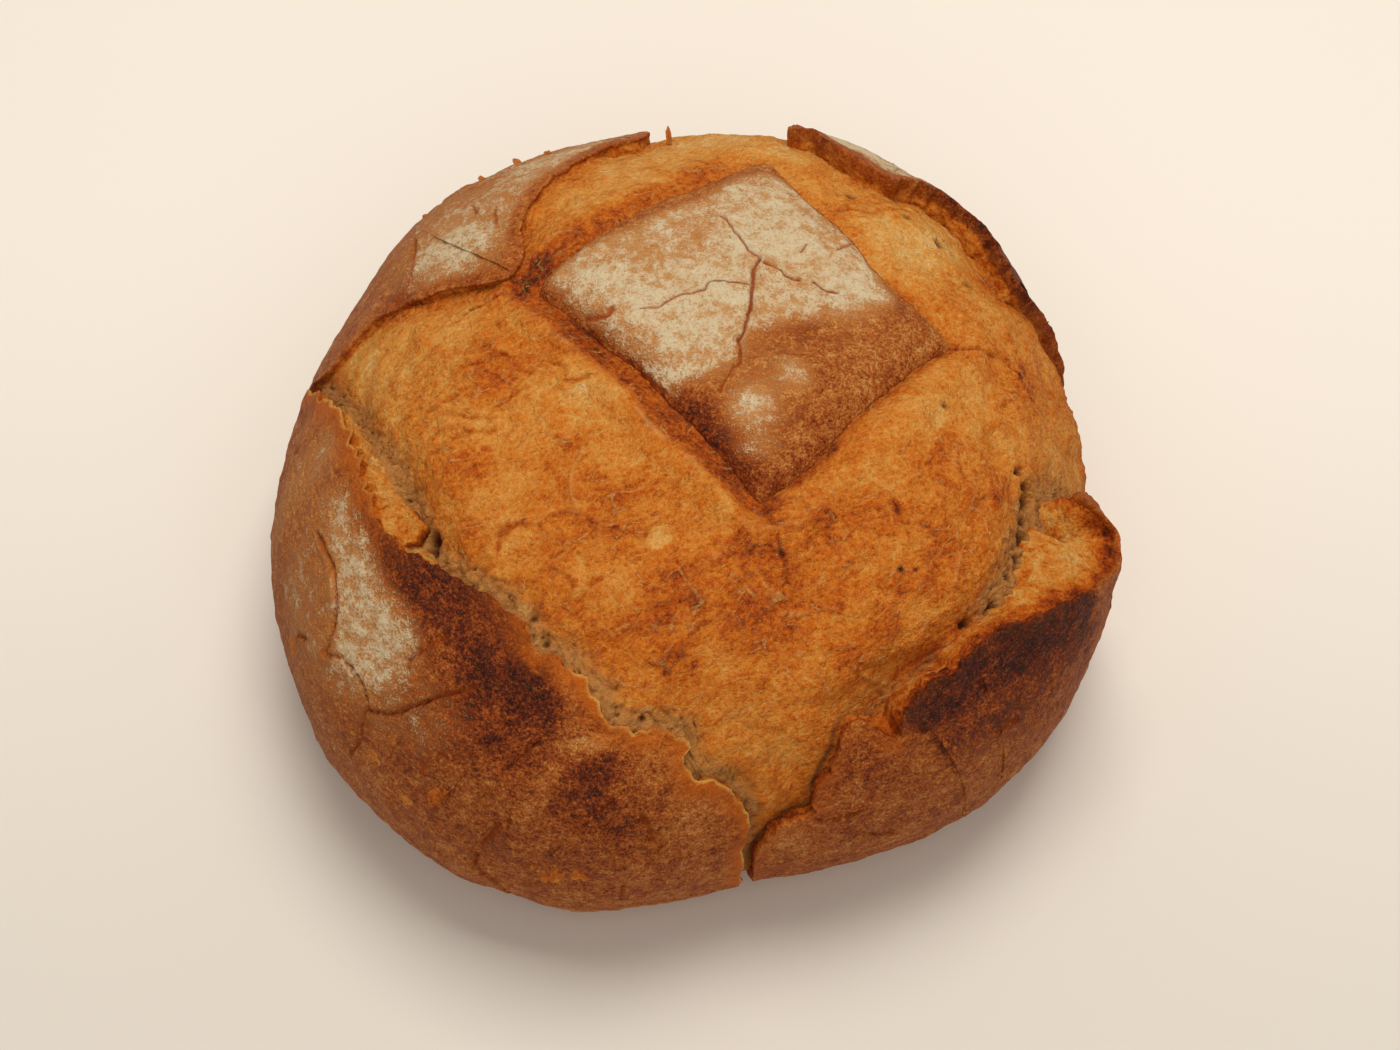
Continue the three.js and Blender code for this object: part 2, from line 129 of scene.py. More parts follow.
def outline(place, radius):
    # Side outline: a superellipse from the top (0) to the widest ring (1), a quarter ellipse on to the
    # underside (2).
    power = 2 / loafForm["fullness"]
    rise = loafForm["height"] - loafForm["widestAt"]
    upper = np.clip(place, 0, 1) * math.pi / 2
    lower = np.clip(place - 1, 0, 1) * math.pi / 2
    dome = place <= 1
    r = np.where(dome, radius * np.sin(upper)**power,
                 radius - loafForm["underEdge"] * (1 - np.cos(lower)))
    z = np.where(dome, loafForm["widestAt"] + rise * np.maximum(np.cos(upper), 0)**power,
                 loafForm["widestAt"] * (1 - np.sin(lower)))
    return r, z


outlinePlaces = np.linspace(0, 2, 1201)
outlineR, outlineZ = outline(outlinePlaces, loafForm["radius"])
outlineLengths = np.concatenate([[0], np.cumsum(np.hypot(np.diff(outlineR), np.diff(outlineZ)))])
reachEnd = outlineLengths[-1]


def chart(bearing, reach):
    # a = reach cos(bearing), b = reach sin(bearing).
    angle = np.radians(bearing)
    return reach * np.cos(angle), reach * np.sin(angle)


def smoothPoints(a, b):
    # The bearing and reach of each chart place are looked up on the side outline, turned round the axis.
    angle = np.arctan2(b, a)
    place = np.interp(np.hypot(a, b), outlineLengths, outlinePlaces)
    r, z = outline(place, planRadius(angle))
    return np.stack([r * np.cos(angle), r * np.sin(angle), z], axis=-1)


def skin(a, b, stand):
    # The smooth loaf plus the stand along its normal, which is the cross product of steps along a and b.
    inward = np.minimum(1, (reachEnd - 1.5) / np.maximum(np.hypot(a, b), 1))
    ca, cb, step = a * inward, b * inward, 0.7
    alongA = smoothPoints(ca + step, cb) - smoothPoints(ca - step, cb)
    alongB = smoothPoints(ca, cb + step) - smoothPoints(ca, cb - step)
    normal = np.cross(alongA, alongB)
    normal /= np.linalg.norm(normal, axis=-1, keepdims=True)
    return smoothPoints(a, b) + normal * np.asarray(stand)[..., None]


def curveThrough(rows):
    # A Catmull-Rom curve through rows of numbers, read at shares of its length in the chart.
    rows = np.asarray(rows, dtype=float)
    lengths = np.concatenate([[0], np.cumsum(np.hypot(*np.diff(rows[:, :2], axis=0).T))])

    def at(share):
        wanted = np.clip(share, 0, 1) * lengths[-1]
        i = np.clip(np.searchsorted(lengths, wanted, side="right") - 1, 0, len(rows) - 2)
        t = ((wanted - lengths[i]) / (lengths[i + 1] - lengths[i]))[..., None]
        p0, p1 = rows[np.maximum(i - 1, 0)], rows[i]
        p2, p3 = rows[i + 1], rows[np.minimum(i + 2, len(rows) - 1)]
        bend = 2 * p0 - 5 * p1 + 4 * p2 - p3
        twist = 3 * p1 - p0 - 3 * p2 + p3
        return p1 + 0.5 * ((p2 - p0) * t + bend * t**2 + twist * t**3)

    return at


def chartRows(rows):
    # Rows that start with bearing and reach, turned into rows that start with a and b.
    return [[*chart(row[0], row[1]), *row[2:]] for row in rows]


def distanceTo(path, a, b):
    # Shortest distance in the chart from each place to the straight pieces of a path.
    nearest = np.full(a.shape, np.inf)
    for p, q in zip(path[:-1], path[1:]):
        da, db = q[0] - p[0], q[1] - p[1]
        t = np.clip(((a - p[0]) * da + (b - p[1]) * db) / (da * da + db * db + tiny), 0, 1)
        nearest = np.minimum(nearest, np.hypot(a - p[0] - t * da, b - p[1] - t * db))
    return nearest


def distanceToLine(places, count, a, b):
    # Shortest distance to a smooth line through places, taken as a count of points.
    return distanceTo(curveThrough(chartRows(places))(np.linspace(0, 1, count)), a, b)


def patches(a, b, rows):
    # Soft ellipses on the crust, 1 in the middle and 0 outside: bearing, reach, half length, half width,
    # turn, strength.
    total = np.zeros(a.shape)
    for bearing, reach, halfLength, halfWidth, turn, strength in rows:
        ca, cb = chart(bearing, reach)
        cos, sin = turned(turn)
        along = ((a - ca) * cos + (b - cb) * sin) / halfLength
        across = ((b - cb) * cos - (a - ca) * sin) / halfWidth
        total = np.maximum(total, strength * np.exp(-(along**2 + across**2)**1.5))
    return total


def insideOf(closed, a, b):
    # Whether a place lies inside a closed line: a ray along a crosses the line an odd number of times.
    inside = np.zeros(a.shape, dtype=bool)
    for p, q in zip(closed[:-1], closed[1:]):
        if p[1] != q[1]:
            inside ^= ((p[1] > b) != (q[1] > b)) & (a < p[0] + (q[0] - p[0]) * (b - p[1]) / (q[1] - p[1]))
    return inside


def area(a, b, places, soft):
    # A soft-edged area inside a closed line of places: 1 well inside, 0 outside, over the soft width in
    # millimetres.
    closed = np.array([chart(*place) for place in places + places[:1]])
    nearest = distanceTo(closed, a, b)
    return ramp(np.where(insideOf(closed, a, b), nearest, -nearest), -0.6 * soft, soft)


# Torn edges of the old crust. Each row: bearing, reach, stand, curl and dip. The curl is how far the torn
# face runs back under the crust, or out over the crumb where it is below zero. The dip is how deep the
# crumb lies there.

tornRows = {
    "frontLeft": [
        [167, 206, 3, 1, 0], [166.5, 165, 3, 1, 1], [167.7, 140, 3, 1, 2], [172, 121, 4, 2, 2.5],
        [176.7, 110.8, 4.5, 2, 3], [180.7, 102, 5, 1, 3.5], [186, 97.6, 5.5, -1, 3.5],
        [192.3, 92.8, 6, -3, 4], [197.7, 91.8, 6, -5, 4.5], [207.3, 90.8, 5.5, -6, 5],
        [213, 88.4, 5, -3, 4.5], [218, 85.4, 3, 0, 3], [225.7, 83, 2.4, 1, 1.6], [234.7, 80.5, 2.2, 1, 1.4],
        [243.3, 85.9, 2.2, 1, 1.4], [248, 86.9, 2, 1, 1.2], [255.3, 94.2, 2, 1, 1.2],
        [257.3, 99.6, 2, 1, 1], [261.3, 103.5, 1.8, 1, 1], [268.7, 107.4, 1.8, 1, 1],
        [270.7, 120.1, 1.8, 1, 1], [274, 123, 1.8, 1, 1], [278, 135.7, 2, 1, 1.5],
        [277.7, 152.8, 2.4, 0.5, 2], [277, 175, 3, 0.5, 1], [276.5, 206, 3, 0.5, 0],
    ],
    "frontRight": [
        [279.5, 206, 3, 0.5, 0], [279.2, 175, 3, 0.5, 1], [279.4, 156, 3, 1, 2], [283.3, 144, 3, 1, 3],
        [288, 140.1, 3.5, 1, 3], [288.3, 132.8, 4, 1.5, 3], [291.7, 122, 4, 2, 3],
        [293.3, 116.2, 4, 2, 3.5], [296, 113.3, 4, 1.5, 4.5], [299, 118.1, 3.5, 0, 6],
        [301.3, 120.5, 4.5, 0, 7], [302.7, 113.7, 8, 2, 6.5], [307.7, 109.8, 8, 2, 6],
        [311.7, 110.5, 8, 1, 6], [314.3, 107.9, 8, 0, 5], [320.3, 108.9, 8.5, -2, 4],
        [325, 112.8, 10, -5, 4], [330.3, 117.2, 12.5, -9, 4], [334.7, 121.3, 14.5, -14, 4],
        [338, 125, 15, -17, 4], [341.2, 127.5, 15, -18, 4.5], [344, 126.5, 14.5, -14, 4.5],
        [345.5, 121, 13, -7, 4], [346.4, 116.5, 10.5, -3, 3.5], [348.5, 117, 7, -1, 3],
        [351, 126, 5.5, 0, 2.5], [352, 142, 4.5, 0, 2], [352.5, 175, 4, 1, 1], [353, 206, 3, 1, 0],
    ],
    "backRight": [
        [17, 206, 3, 1, 0], [18, 178, 3.5, 1, 1], [19.5, 158, 4, 1, 1], [21.5, 145, 4.5, 1, 1],
        [23, 134, 5, 1.5, 1], [24, 121, 6, 2, 0.5], [26.7, 112, 7.5, 2.5, 0.5], [33, 112.3, 8, 2.5, 1],
        [37.3, 110.3, 9, 2.5, 1.5], [43, 110.3, 8, 2, 1.5], [47.7, 108.4, 7, 2, 1.5],
        [50, 101.5, 6.5, 2.5, 2], [52.7, 95.7, 6, 2, 1], [57.3, 93.7, 6.5, 2, 1], [61, 95.7, 7, 2.5, 1],
        [64.7, 97.1, 7, 2.5, 1], [69, 102, 7.5, 2, 1], [72.3, 104, 6, 1.5, 1], [73.2, 112, 5.5, 1, 1],
        [73.5, 135, 4.5, 1, 1], [73, 170, 4, 1, 1], [72, 206, 3, 1, 0],
    ],
    "backLeft": [
        [95, 206, 3, 1, 0], [96, 165, 3, 1, 1], [96.5, 130, 3, 1, 1], [97.5, 108, 2.5, 0.5, 1],
        [101.7, 104.5, 2.5, 0.5, 1], [106, 100.1, 2.5, 0.5, 1], [118.7, 85.9, 2.5, 0.5, 1],
        [131.3, 73.2, 2.5, 0.5, 1], [136.7, 64.9, 2.5, 0.5, 1], [144, 61.5, 2.5, 0.5, 1],
        [147.3, 64.4, 2, 1, 1.5], [153.3, 82, 2, 1, 1], [156.3, 92, 2, 0.5, 1], [160, 105.9, 2, 0.5, 1],
        [167, 120, 2, 0.5, 1], [166, 138, 2.5, 1, 1], [164, 165, 3, 1, 1], [163, 206, 3, 1, 0],
    ],
}


def edgeFrame(at, share, step=0.006):
    # The edge at shares of its length, with the unit way from it into the old crust: the tangent turned
    # right.
    before, after = at(share - step), at(share + step)
    ta, tb = after[..., 0] - before[..., 0], after[..., 1] - before[..., 1]
    length = np.hypot(ta, tb) + tiny
    return at(share), tb / length, -ta / length


tornEdges = {name: curveThrough(chartRows(rows)) for name, rows in tornRows.items()}
creviceLines = {}
for name, at in tornEdges.items():
    line, intoA, intoB = edgeFrame(at, np.linspace(0, 1, 141))
    out = np.minimum(line[:, 3], 0)
    creviceLines[name] = np.stack([line[:, 0] + out * intoA, line[:, 1] + out * intoB, line[:, 4]], axis=1)
creviceWidth = 9


def creviceDepth(a, b):
    # The deepest of the dips beside the torn edges, each fading as a bell.
    deepest = np.zeros(a.shape)
    for line in creviceLines.values():
        for pa, pb, dip in line:
            deepest = np.maximum(deepest, dip * np.exp(-((a - pa)**2 + (b - pb)**2) / creviceWidth**2))
    return deepest


# The crown, a square of old crust left on top

crown = {
    "corners": [(-45, 30.5), (21, -43.8), (81, 18.2), (22.8, 85)],
    "bows": [2.8, 2.4, 5.6, -1.4],
    "centre": (17.4, 23.2),
    "round": 0.06,
    "placesPerSide": 48,
    "rise": 1.8,
    "thickness": 9.0,
    # Beside each side the crumb dips into a moat and then rises to a ridge: depth, width, height.
    "sides": [(3.6, 6, 3), (3.2, 4, 1.5), (1.2, 5, 0.3), (1.4, 6, 0.6)],
    "ridgeOut": 9.5,
    "ridgeWidth": 5.0,
}


def crownEdge(share):
    # Four sides, each bowed towards the centre by sines, with the corners pulled in a little.
    corners = np.array(crown["corners"], dtype=float)
    side = np.floor(share * 4).astype(int) % 4
    t = share * 4 - np.floor(share * 4)
    start, end = corners[side], corners[(side + 1) % 4]
    corner = np.minimum(t, 1 - t) / crown["round"]
    pull = np.where(corner < 1, 0.02 * (1 - corner)**2, 0)[..., None]
    bow = np.array(crown["bows"])[side] * np.sin(math.pi * t) + 0.4 * np.sin(5 * math.pi * t + side)
    way = end - start
    out = np.stack([-way[..., 1], way[..., 0]], axis=-1) / np.linalg.norm(way, axis=-1, keepdims=True)
    return mix(mix(start, end, t[..., None]) + bow[..., None] * out, np.array(crown["centre"]), pull)


crownOutline = crownEdge(np.linspace(0, 1, 4 * crown["placesPerSide"] + 1)[:-1])


def crownDistance(a, b):
    # Distance outside the crown's edge, below zero inside it, with the distance to each of its four sides.
    closed = np.vstack([crownOutline, crownOutline[:1]])
    n = crown["placesPerSide"]
    sides = np.stack([distanceTo(closed[n * k:n * k + n + 1], a, b) for k in range(4)], axis=-1)
    nearest = sides.min(axis=-1)
    return np.where(insideOf(closed, a, b), -nearest, nearest), sides


def upperLoaf(a, b):
    # 1 on the upper loaf, fading to 0 down its side between reaches of 150 and 190 mm.
    return 1 - ramp(np.hypot(a, b), 150, 190)


def unevenness(a, b):
    # Slow swellings of free dough: products of sines.
    return 0.9 * np.sin(a / 11 + 1.3 * np.sin(b / 17)) * np.sin(b / 13 + 0.7) + 0.6 * np.sin((a + b) / 19)


# Meshes

def gridNormals(rings):
    # Cross product of the steps along and round the rings, turned outwards by the sign of the enclosed
    # volume.
    along = np.gradient(rings, axis=0)
    around = np.roll(rings, -1, axis=1) - np.roll(rings, 1, axis=1)
    normal = np.cross(along, around)
    normal /= np.linalg.norm(normal, axis=-1, keepdims=True) + tiny
    centre = rings.mean(axis=(0, 1))
    outward = np.sign(((rings - centre) * normal).sum(axis=-1).mean())
    return normal * outward


def loft(rings, fields):
    # Closed rings of points joined one after another, the first and last drawn together to one point, faces
    # outwards.
    count, around = rings.shape[:2]
    points = np.vstack([rings[0].mean(axis=0), rings[1:-1].reshape(-1, 3), rings[-1].mean(axis=0)])
    ring = np.arange(count - 2)[:, None] * around + 1
    here, there = np.arange(around)[None, :], np.roll(np.arange(around), -1)[None, :]
    quads = np.stack([ring[:-1] + here, ring[:-1] + there, ring[1:] + there, ring[1:] + here], axis=-1)
    quads = quads.reshape(-1, 4)
    foot = np.stack([np.zeros(around, dtype=int), 1 + there[0], 1 + here[0]], axis=-1)
    top = np.stack([np.full(around, len(points) - 1), ring[-1] + here[0], ring[-1] + there[0]], axis=-1)
    triangles = np.vstack([foot, top])
    halves = np.concatenate([triangles, quads[:, [0, 1, 2]], quads[:, [0, 2, 3]]])
    p, q, r = (points[halves[:, k]] - points[0] for k in range(3))
    if (p * np.cross(q, r)).sum() < 0:
        triangles, quads = triangles[:, ::-1], quads[:, ::-1]
    spread = {}
    for key, values in fields.items():
        layers = np.asarray(values, dtype=float).reshape(count, around, -1)
        inner = layers[1:-1].reshape(-1, layers.shape[2])
        spread[key] = np.vstack([layers[0].mean(axis=0), inner, layers[-1].mean(axis=0)])
    return points, triangles, quads, spread


def addMesh(name, lofts, finish):
    # Writes lofts in millimetres into one mesh in metres, with each field as an attribute of its points.
    starts = np.cumsum([0] + [len(part[0]) for part in lofts])
    points = np.vstack([part[0] for part in lofts])
    triangles = np.vstack([part[1] + start for part, start in zip(lofts, starts)])
    quads = np.vstack([part[2] + start for part, start in zip(lofts, starts)])
    mesh = bpy.data.meshes.new(name)
    mesh.vertices.add(len(points))
    mesh.vertices.foreach_set("co", (points / 1000).astype(np.float32).ravel())
    loops = np.concatenate([triangles.ravel(), quads.ravel()]).astype(np.int32)
    counts = np.concatenate([np.full(len(triangles), 3), np.full(len(quads), 4)])
    mesh.loops.add(len(loops))
    mesh.loops.foreach_set("vertex_index", loops)
    mesh.polygons.add(len(counts))
    mesh.polygons.foreach_set("loop_start", np.concatenate([[0], np.cumsum(counts)[:-1]]).astype(np.int32))
    mesh.polygons.foreach_set("use_smooth", np.ones(len(counts), dtype=bool))
    mesh.update(calc_edges=True)
    mesh.validate()
    for key in lofts[0][3]:
        values = np.vstack([part[3][key] for part in lofts]).astype(np.float32)
        kind, slot = ("FLOAT", "value") if values.shape[1] == 1 else ("FLOAT_VECTOR", "vector")
        mesh.attributes.new(key, kind, "POINT").data.foreach_set(slot, values.ravel())
    mesh.materials.append(finish)
    piece = bpy.data.objects.new(name, mesh)
    bpy.context.scene.collection.objects.link(piece)
    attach(piece, "root")
    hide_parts("loaf")
    print(name, len(triangles) + 2 * len(quads), "triangles")
    return piece


# Finishes

def colour(code):
    # A hex colour in sRGB, turned to linear: above 0.04045, ((c + 0.055) / 1.055)^2.4.
    parts = [int(code[k:k + 2], 16) / 255 for k in (1, 3, 5)]
    return [c / 12.92 if c <= 0.04045 else ((c + 0.055) / 1.055)**2.4 for c in parts] + [1.0]


def perMetre(millimetres):
    # The scale of a noise whose grains have this size.
    return 1000 / millimetres


# A map range that starts and ends softly.
eased = {"interpolation_type": "SMOOTHSTEP"}


def addNode(material, kind, inputs, give=0, **settings):
    # Adds one node with its settings, sets or links its inputs, and gives back one of its outputs. The
    # inputs of a map range are 0, the value, 1 and 2, the range that it comes from, and 3 and 4, the range
    # that it goes to.
    tree = material.node_tree
    item = tree.nodes.new("ShaderNode" + kind)
    for key, value in settings.items():
        setattr(item, key, value)
    for key, value in inputs.items():
        if isinstance(value, bpy.types.NodeSocket):
            tree.links.new(value, item.inputs[key])
        else:
            item.inputs[key].default_value = value
    return item.outputs[give] if len(item.outputs) else item


def layerColours(material, base, layers):
    # Lays colours over a base, each through its own mask.
    for over, mask in layers:
        base = addNode(material, "Mix", {0: mask, 6: base, 7: over}, give=2, data_type="RGBA")
    return base


def colourByTone(material, tone, stops):
    # Goes from one colour to the next as the tone rises from one stop to the next.
    rises = [(colour(code), addNode(material, "MapRange", {0: tone, 1: low, 2: high}))
             for (low, start), (high, code) in zip(stops[:-1], stops[1:])]
    return layerColours(material, colour(stops[0][1]), rises)


def startMaterial(name, grains, fields):
    # An empty material with the noises and the mesh fields that it works from.
    material = bpy.data.materials.new(name)
    material.use_nodes = True
    material.node_tree.nodes.clear()
    place = addNode(material, "TexCoord", {}, give="Object")
    noise = {}
    for key, (size, detail) in grains.items():
        inputs = {"Vector": place, "Scale": perMetre(size), "Detail": detail, "Roughness": 0.62}
        noise[key] = addNode(material, "TexNoise", inputs)
    field = {key: addNode(material, "Attribute", {}, give="Fac", attribute_name=key) for key in fields}
    return material, place, noise, field


def addGrain(material, tone, noise, strengths):
    # A tone raised and lowered by noises, each centred on its mean.
    tone = addNode(material, "Math", {0: tone, 1: -0.5 * sum(strengths.values())}, operation="ADD")
    for key, strength in strengths.items():
        tone = addNode(material, "Math", {0: noise[key], 1: strength, 2: tone}, operation="MULTIPLY_ADD")
    return tone


def finishMaterial(material, base, roughness, specular, bumps):
    # The shader, with bumps chained from coarse to fine: height, depth in millimetres and strength.
    normal = None
    for height, depth, strength in bumps:
        inputs = {"Height": height, "Distance": depth / 1000, "Strength": strength}
        if normal:
            inputs["Normal"] = normal
        normal = addNode(material, "Bump", inputs)
    surface = {"Base Color": base, "Roughness": roughness, "IOR": 1.45, "Specular IOR Level": specular}
    shader = addNode(material, "BsdfPrincipled", {**surface, "Normal": normal})
    addNode(material, "OutputMaterial", {"Surface": shader})
    return material


crumbFinish = {
    "stops": [(0.0, "#d8b075"), (0.2, "#d3984a"), (0.4, "#cd8232"), (0.58, "#c46b1a"), (0.76, "#b04f0e"),
              (0.95, "#86340a"), (1.15, "#4c1d0b")],
    "moist": "#b07a40",
    "moistDark": "#74421c",
    "wisp": "#deaa5e",
    "paleGrainAndHighlight": "#dba763",
    "pore": "#7c3412",
    # Painted shade: the dark colour laid into holes, creases, gaps, bubbles and along the crown's edge.
    "recessShade": "#46200f",
    # Grain sizes in millimetres, with their detail.
    "grains": {"cloud": (13.0, 4.0), "mottle": (4.2, 5.0), "speck": (1.3, 4.0), "dust": (0.6, 2.0)},
    "toneGrain": {"cloud": 0.75, "mottle": 0.7, "speck": 0.85, "dust": 0.8, "fibre": 0.35},
    "fibreSize": 1.3,
    "fibreStretch": 3.2,
    "cellSize": 5.0,
    "cellStretch": 2.2,
    "cellWander": 0.004,
    "wanderSize": 6.0,
    "roughness": 0.75,
    "specular": 0.12,
}


def makeCrumb():
    # Oven-spring crumb: dough skin torn open while it baked. It dries matt and fibrous, browns where it
    # stands out and stays pale and moist in the cracks that opened last. Pale threads of gluten cross it.
    s = crumbFinish
    fields = ("tone", "moist", "line", "recessShade")
    material, place, noise, field = startMaterial("oven_spring_crumb", s["grains"], fields)
    way = addNode(material, "Attribute", {}, give="Vector", attribute_name="fibreWay")
    stretched = addNode(material, "Mapping", {"Vector": way, "Scale": (1 / s["fibreStretch"], 1, 1)})
    noise["fibre"] = addNode(material, "TexNoise", {"Vector": stretched, "Scale": perMetre(s["fibreSize"]),
                                                    "Detail": 3.0, "Roughness": 0.6})
    # Threads: the edges of stretched cells that wander, broken up by the coarser noises.
    wanderInputs = {"Vector": place, "Scale": perMetre(s["wanderSize"]), "Detail": 3.0}
    wander = addNode(material, "TexNoise", wanderInputs, give="Color")
    wandered = addNode(material, "VectorMath", {0: wander, 1: (s["cellWander"],) * 3, 2: way},
                       operation="MULTIPLY_ADD")
    cells = addNode(material, "Mapping", {"Vector": wandered, "Scale": (1 / s["cellStretch"], 1, 1)})
    edge = addNode(material, "TexVoronoi", {"Vector": cells, "Scale": perMetre(s["cellSize"])},
                   feature="DISTANCE_TO_EDGE")
    thread = addNode(material, "MapRange", {0: edge, 1: 0.0, 2: 0.07, 3: 0.75, 4: 0.0}, **eased)
    broken = addNode(material, "MapRange", {0: noise["mottle"], 1: 0.46, 2: 0.64}, **eased)
    threads = addNode(material, "Math", {0: thread, 1: broken}, operation="MULTIPLY")
    shown = addNode(material, "Math", {0: threads, 1: field["line"]}, operation="MAXIMUM")
    speckled = addNode(material, "MapRange", {0: noise["dust"], 1: 0.35, 2: 0.6, 3: 0.25, 4: 0.75})
    wisp = addNode(material, "Math", {0: shown, 1: speckled}, operation="MULTIPLY")
    tone = addGrain(material, field["tone"], noise, s["toneGrain"])
    # Pale grains of crumb, partly painted highlights standing in for small bright ridges.
    pale = addNode(material, "MapRange", {0: noise["dust"], 1: 0.6, 2: 0.72, 4: 0.55}, **eased)
    pore = addNode(material, "MapRange", {0: noise["dust"], 1: 0.36, 2: 0.27, 4: 0.7}, **eased)
    moistEdge = addGrain(material, field["moist"], noise, {"mottle": 0.9, "speck": 0.5})
    moist = addNode(material, "MapRange", {0: moistEdge, 1: 0.25, 2: 0.85, 4: 0.85}, **eased)
    streak = addNode(material, "MapRange", {0: noise["fibre"], 1: 0.56, 2: 0.7, 4: 0.6}, **eased)
    streaks = addNode(material, "Math", {0: streak, 1: moist}, operation="MULTIPLY")
    base = layerColours(material, colourByTone(material, tone, s["stops"]), [
        (colour(s["paleGrainAndHighlight"]), pale),
        (colour(s["pore"]), pore),
        (colour(s["moist"]), moist),
        (colour(s["moistDark"]), streaks),
        (colour(s["wisp"]), wisp),
        # Painted shade in holes, creases, gaps, bubbles and along the crown's edge.
        (colour(s["recessShade"]), field["recessShade"]),
    ])
    bumps = [(noise["mottle"], 2.0, 0.75), (noise["fibre"], 0.9, 0.5), (shown, 0.3, 0.5),
             (noise["speck"], 0.9, 0.85), (noise["dust"], 0.35, 0.6)]
    return finishMaterial(material, base, s["roughness"], s["specular"], bumps)


crustFinish = {
    "stops": [(0.0, "#d09a5c"), (0.22, "#c07a37"), (0.42, "#ad5c20"), (0.6, "#944211"), (0.78, "#6c270b"),
              (0.95, "#47180c"), (1.12, "#280f0c")],
    "rimOrange": "#c25e0c",
    "rimPale": "#dba04a",
    "flour": "#e0cba2",
    "flourThin": "#cf9d64",
    "crack": "#a8470e",
    "paintedGlint": "#bd7434",
    "streakPale": "#b96a2a",
    "grains": {"cloud": (15.0, 4.0), "mottle": (3.2, 5.0), "speck": (0.95, 4.0), "dust": (0.5, 2.0)},
    "toneGrain": {"cloud": 0.6, "mottle": 0.9, "speck": 1.3, "dust": 1.1, "streak": 0.6},
    "faceGrain": {"cloud": 0.5, "mottle": 1.1, "speck": 1.0},
    "flourGrain": {"cloud": 1.0, "mottle": 1.3},
    "streakSize": 1.7,
    "streakStretch": 2.6,
    "roughness": 0.6,
    "flouredRoughness": 0.9,
    "specular": 0.16,
}


# What the crust's meshes tell its finish at each point.
crustFields = ("tone", "edge", "torn", "faceTone", "glow", "flour", "crack")


def makeCrust():
    # Old crust: the skin that the loaf went into the oven with, browned hard and a little glossy where it
    # is darkest. Rice flour stays on it as small grains. Where it broke it is orange, and the torn face is
    # crumb.
    s = crustFinish
    material, place, noise, field = startMaterial("baked_crust", s["grains"], crustFields)
    # Streaks of skin stretched round the loaf as it swelled.
    way = addNode(material, "Attribute", {}, give="Vector", attribute_name="around")
    stretched = addNode(material, "Mapping", {"Vector": way, "Scale": (1 / s["streakStretch"], 1, 1)})
    noise["streak"] = addNode(material, "TexNoise", {"Vector": stretched, "Scale": perMetre(s["streakSize"]),
                                                     "Detail": 4.0, "Roughness": 0.65})
    tone = addGrain(material, field["tone"], noise, s["toneGrain"])
    # Orange along the broken edge, over 11 mm with a ragged border, and pale on the edge itself.
    ragged = addGrain(material, field["edge"], noise, {"cloud": 9.0, "mottle": 9.0, "speck": 3.0})
    orange = addNode(material, "MapRange", {0: ragged, 1: 0.0, 2: 11.0, 3: 1.0, 4: 0.0}, **eased)
    orange = addNode(material, "Math", {0: orange, 1: field["glow"]}, operation="MULTIPLY")
    thin = addGrain(material, field["edge"], noise, {"mottle": 3.0, "speck": 1.5})
    lip = addNode(material, "MapRange", {0: thin, 1: 0.1, 2: 1.3, 3: 0.8, 4: 0.0}, **eased)
    brightest = addNode(material, "MapRange", {0: field["glow"], 1: 0.6, 2: 1.0})
    lip = addNode(material, "Math", {0: lip, 1: brightest}, operation="MULTIPLY")
    # Flour: the field and the coarser noises say how thick it lies, and the finer noises make its grains.
    # It is pinkish where it is thin and cream where it is thick.
    thick = addGrain(material, field["flour"], noise, s["flourGrain"])
    grains = addGrain(material, thick, noise, {"speck": 1.6, "dust": 1.6})
    grains = addNode(material, "MapRange", {0: grains, 1: 0.24, 2: 0.88}, **eased)
    dusted = addNode(material, "MapRange", {0: field["flour"], 1: 0.03, 2: 0.25, 4: 0.92})
    flour = addNode(material, "Math", {0: grains, 1: dusted}, operation="MULTIPLY")
    heaped = addNode(material, "MapRange", {0: thick, 1: 0.35, 2: 0.95}, **eased)
    flourColour = layerColours(material, colour(s["flourThin"]), [(colour(s["flour"]), heaped)])
    # Painted glints: pale specks from the finest noise stand in for small highlights on the crust.
    paintedGlint = addNode(material, "MapRange", {0: noise["dust"], 1: 0.6, 2: 0.72, 4: 0.5}, **eased)
    streaks = addNode(material, "MapRange", {0: noise["streak"], 1: 0.58, 2: 0.7, 4: 0.45}, **eased)
    faceTone = addGrain(material, field["faceTone"], noise, s["faceGrain"])
    face = colourByTone(material, faceTone, crumbFinish["stops"])
    base = layerColours(material, colourByTone(material, tone, s["stops"]), [
        (colour(s["streakPale"]), streaks),
        (colour(s["paintedGlint"]), paintedGlint),
        (colour(s["rimOrange"]), orange),
        (flourColour, flour),
        (colour(s["rimPale"]), lip),
        (colour(s["crack"]), field["crack"]),
        (face, field["torn"]),
    ])
    dry = addNode(material, "Math", {0: flour, 1: field["torn"]}, operation="MAXIMUM")
    roughness = addNode(material, "MapRange", {0: dry, 3: s["roughness"], 4: s["flouredRoughness"]})
    bumps = [(noise["mottle"], 2.2, 0.8), (noise["streak"], 0.9, 0.5), (noise["speck"], 0.9, 0.9),
             (noise["dust"], 0.4, 0.6)]
    return finishMaterial(material, base, roughness, s["specular"], bumps)


crumbMaterial = makeCrumb()
crustMaterial = makeCrust()
print("finishes made")


# The crumb that swelled out between the flaps

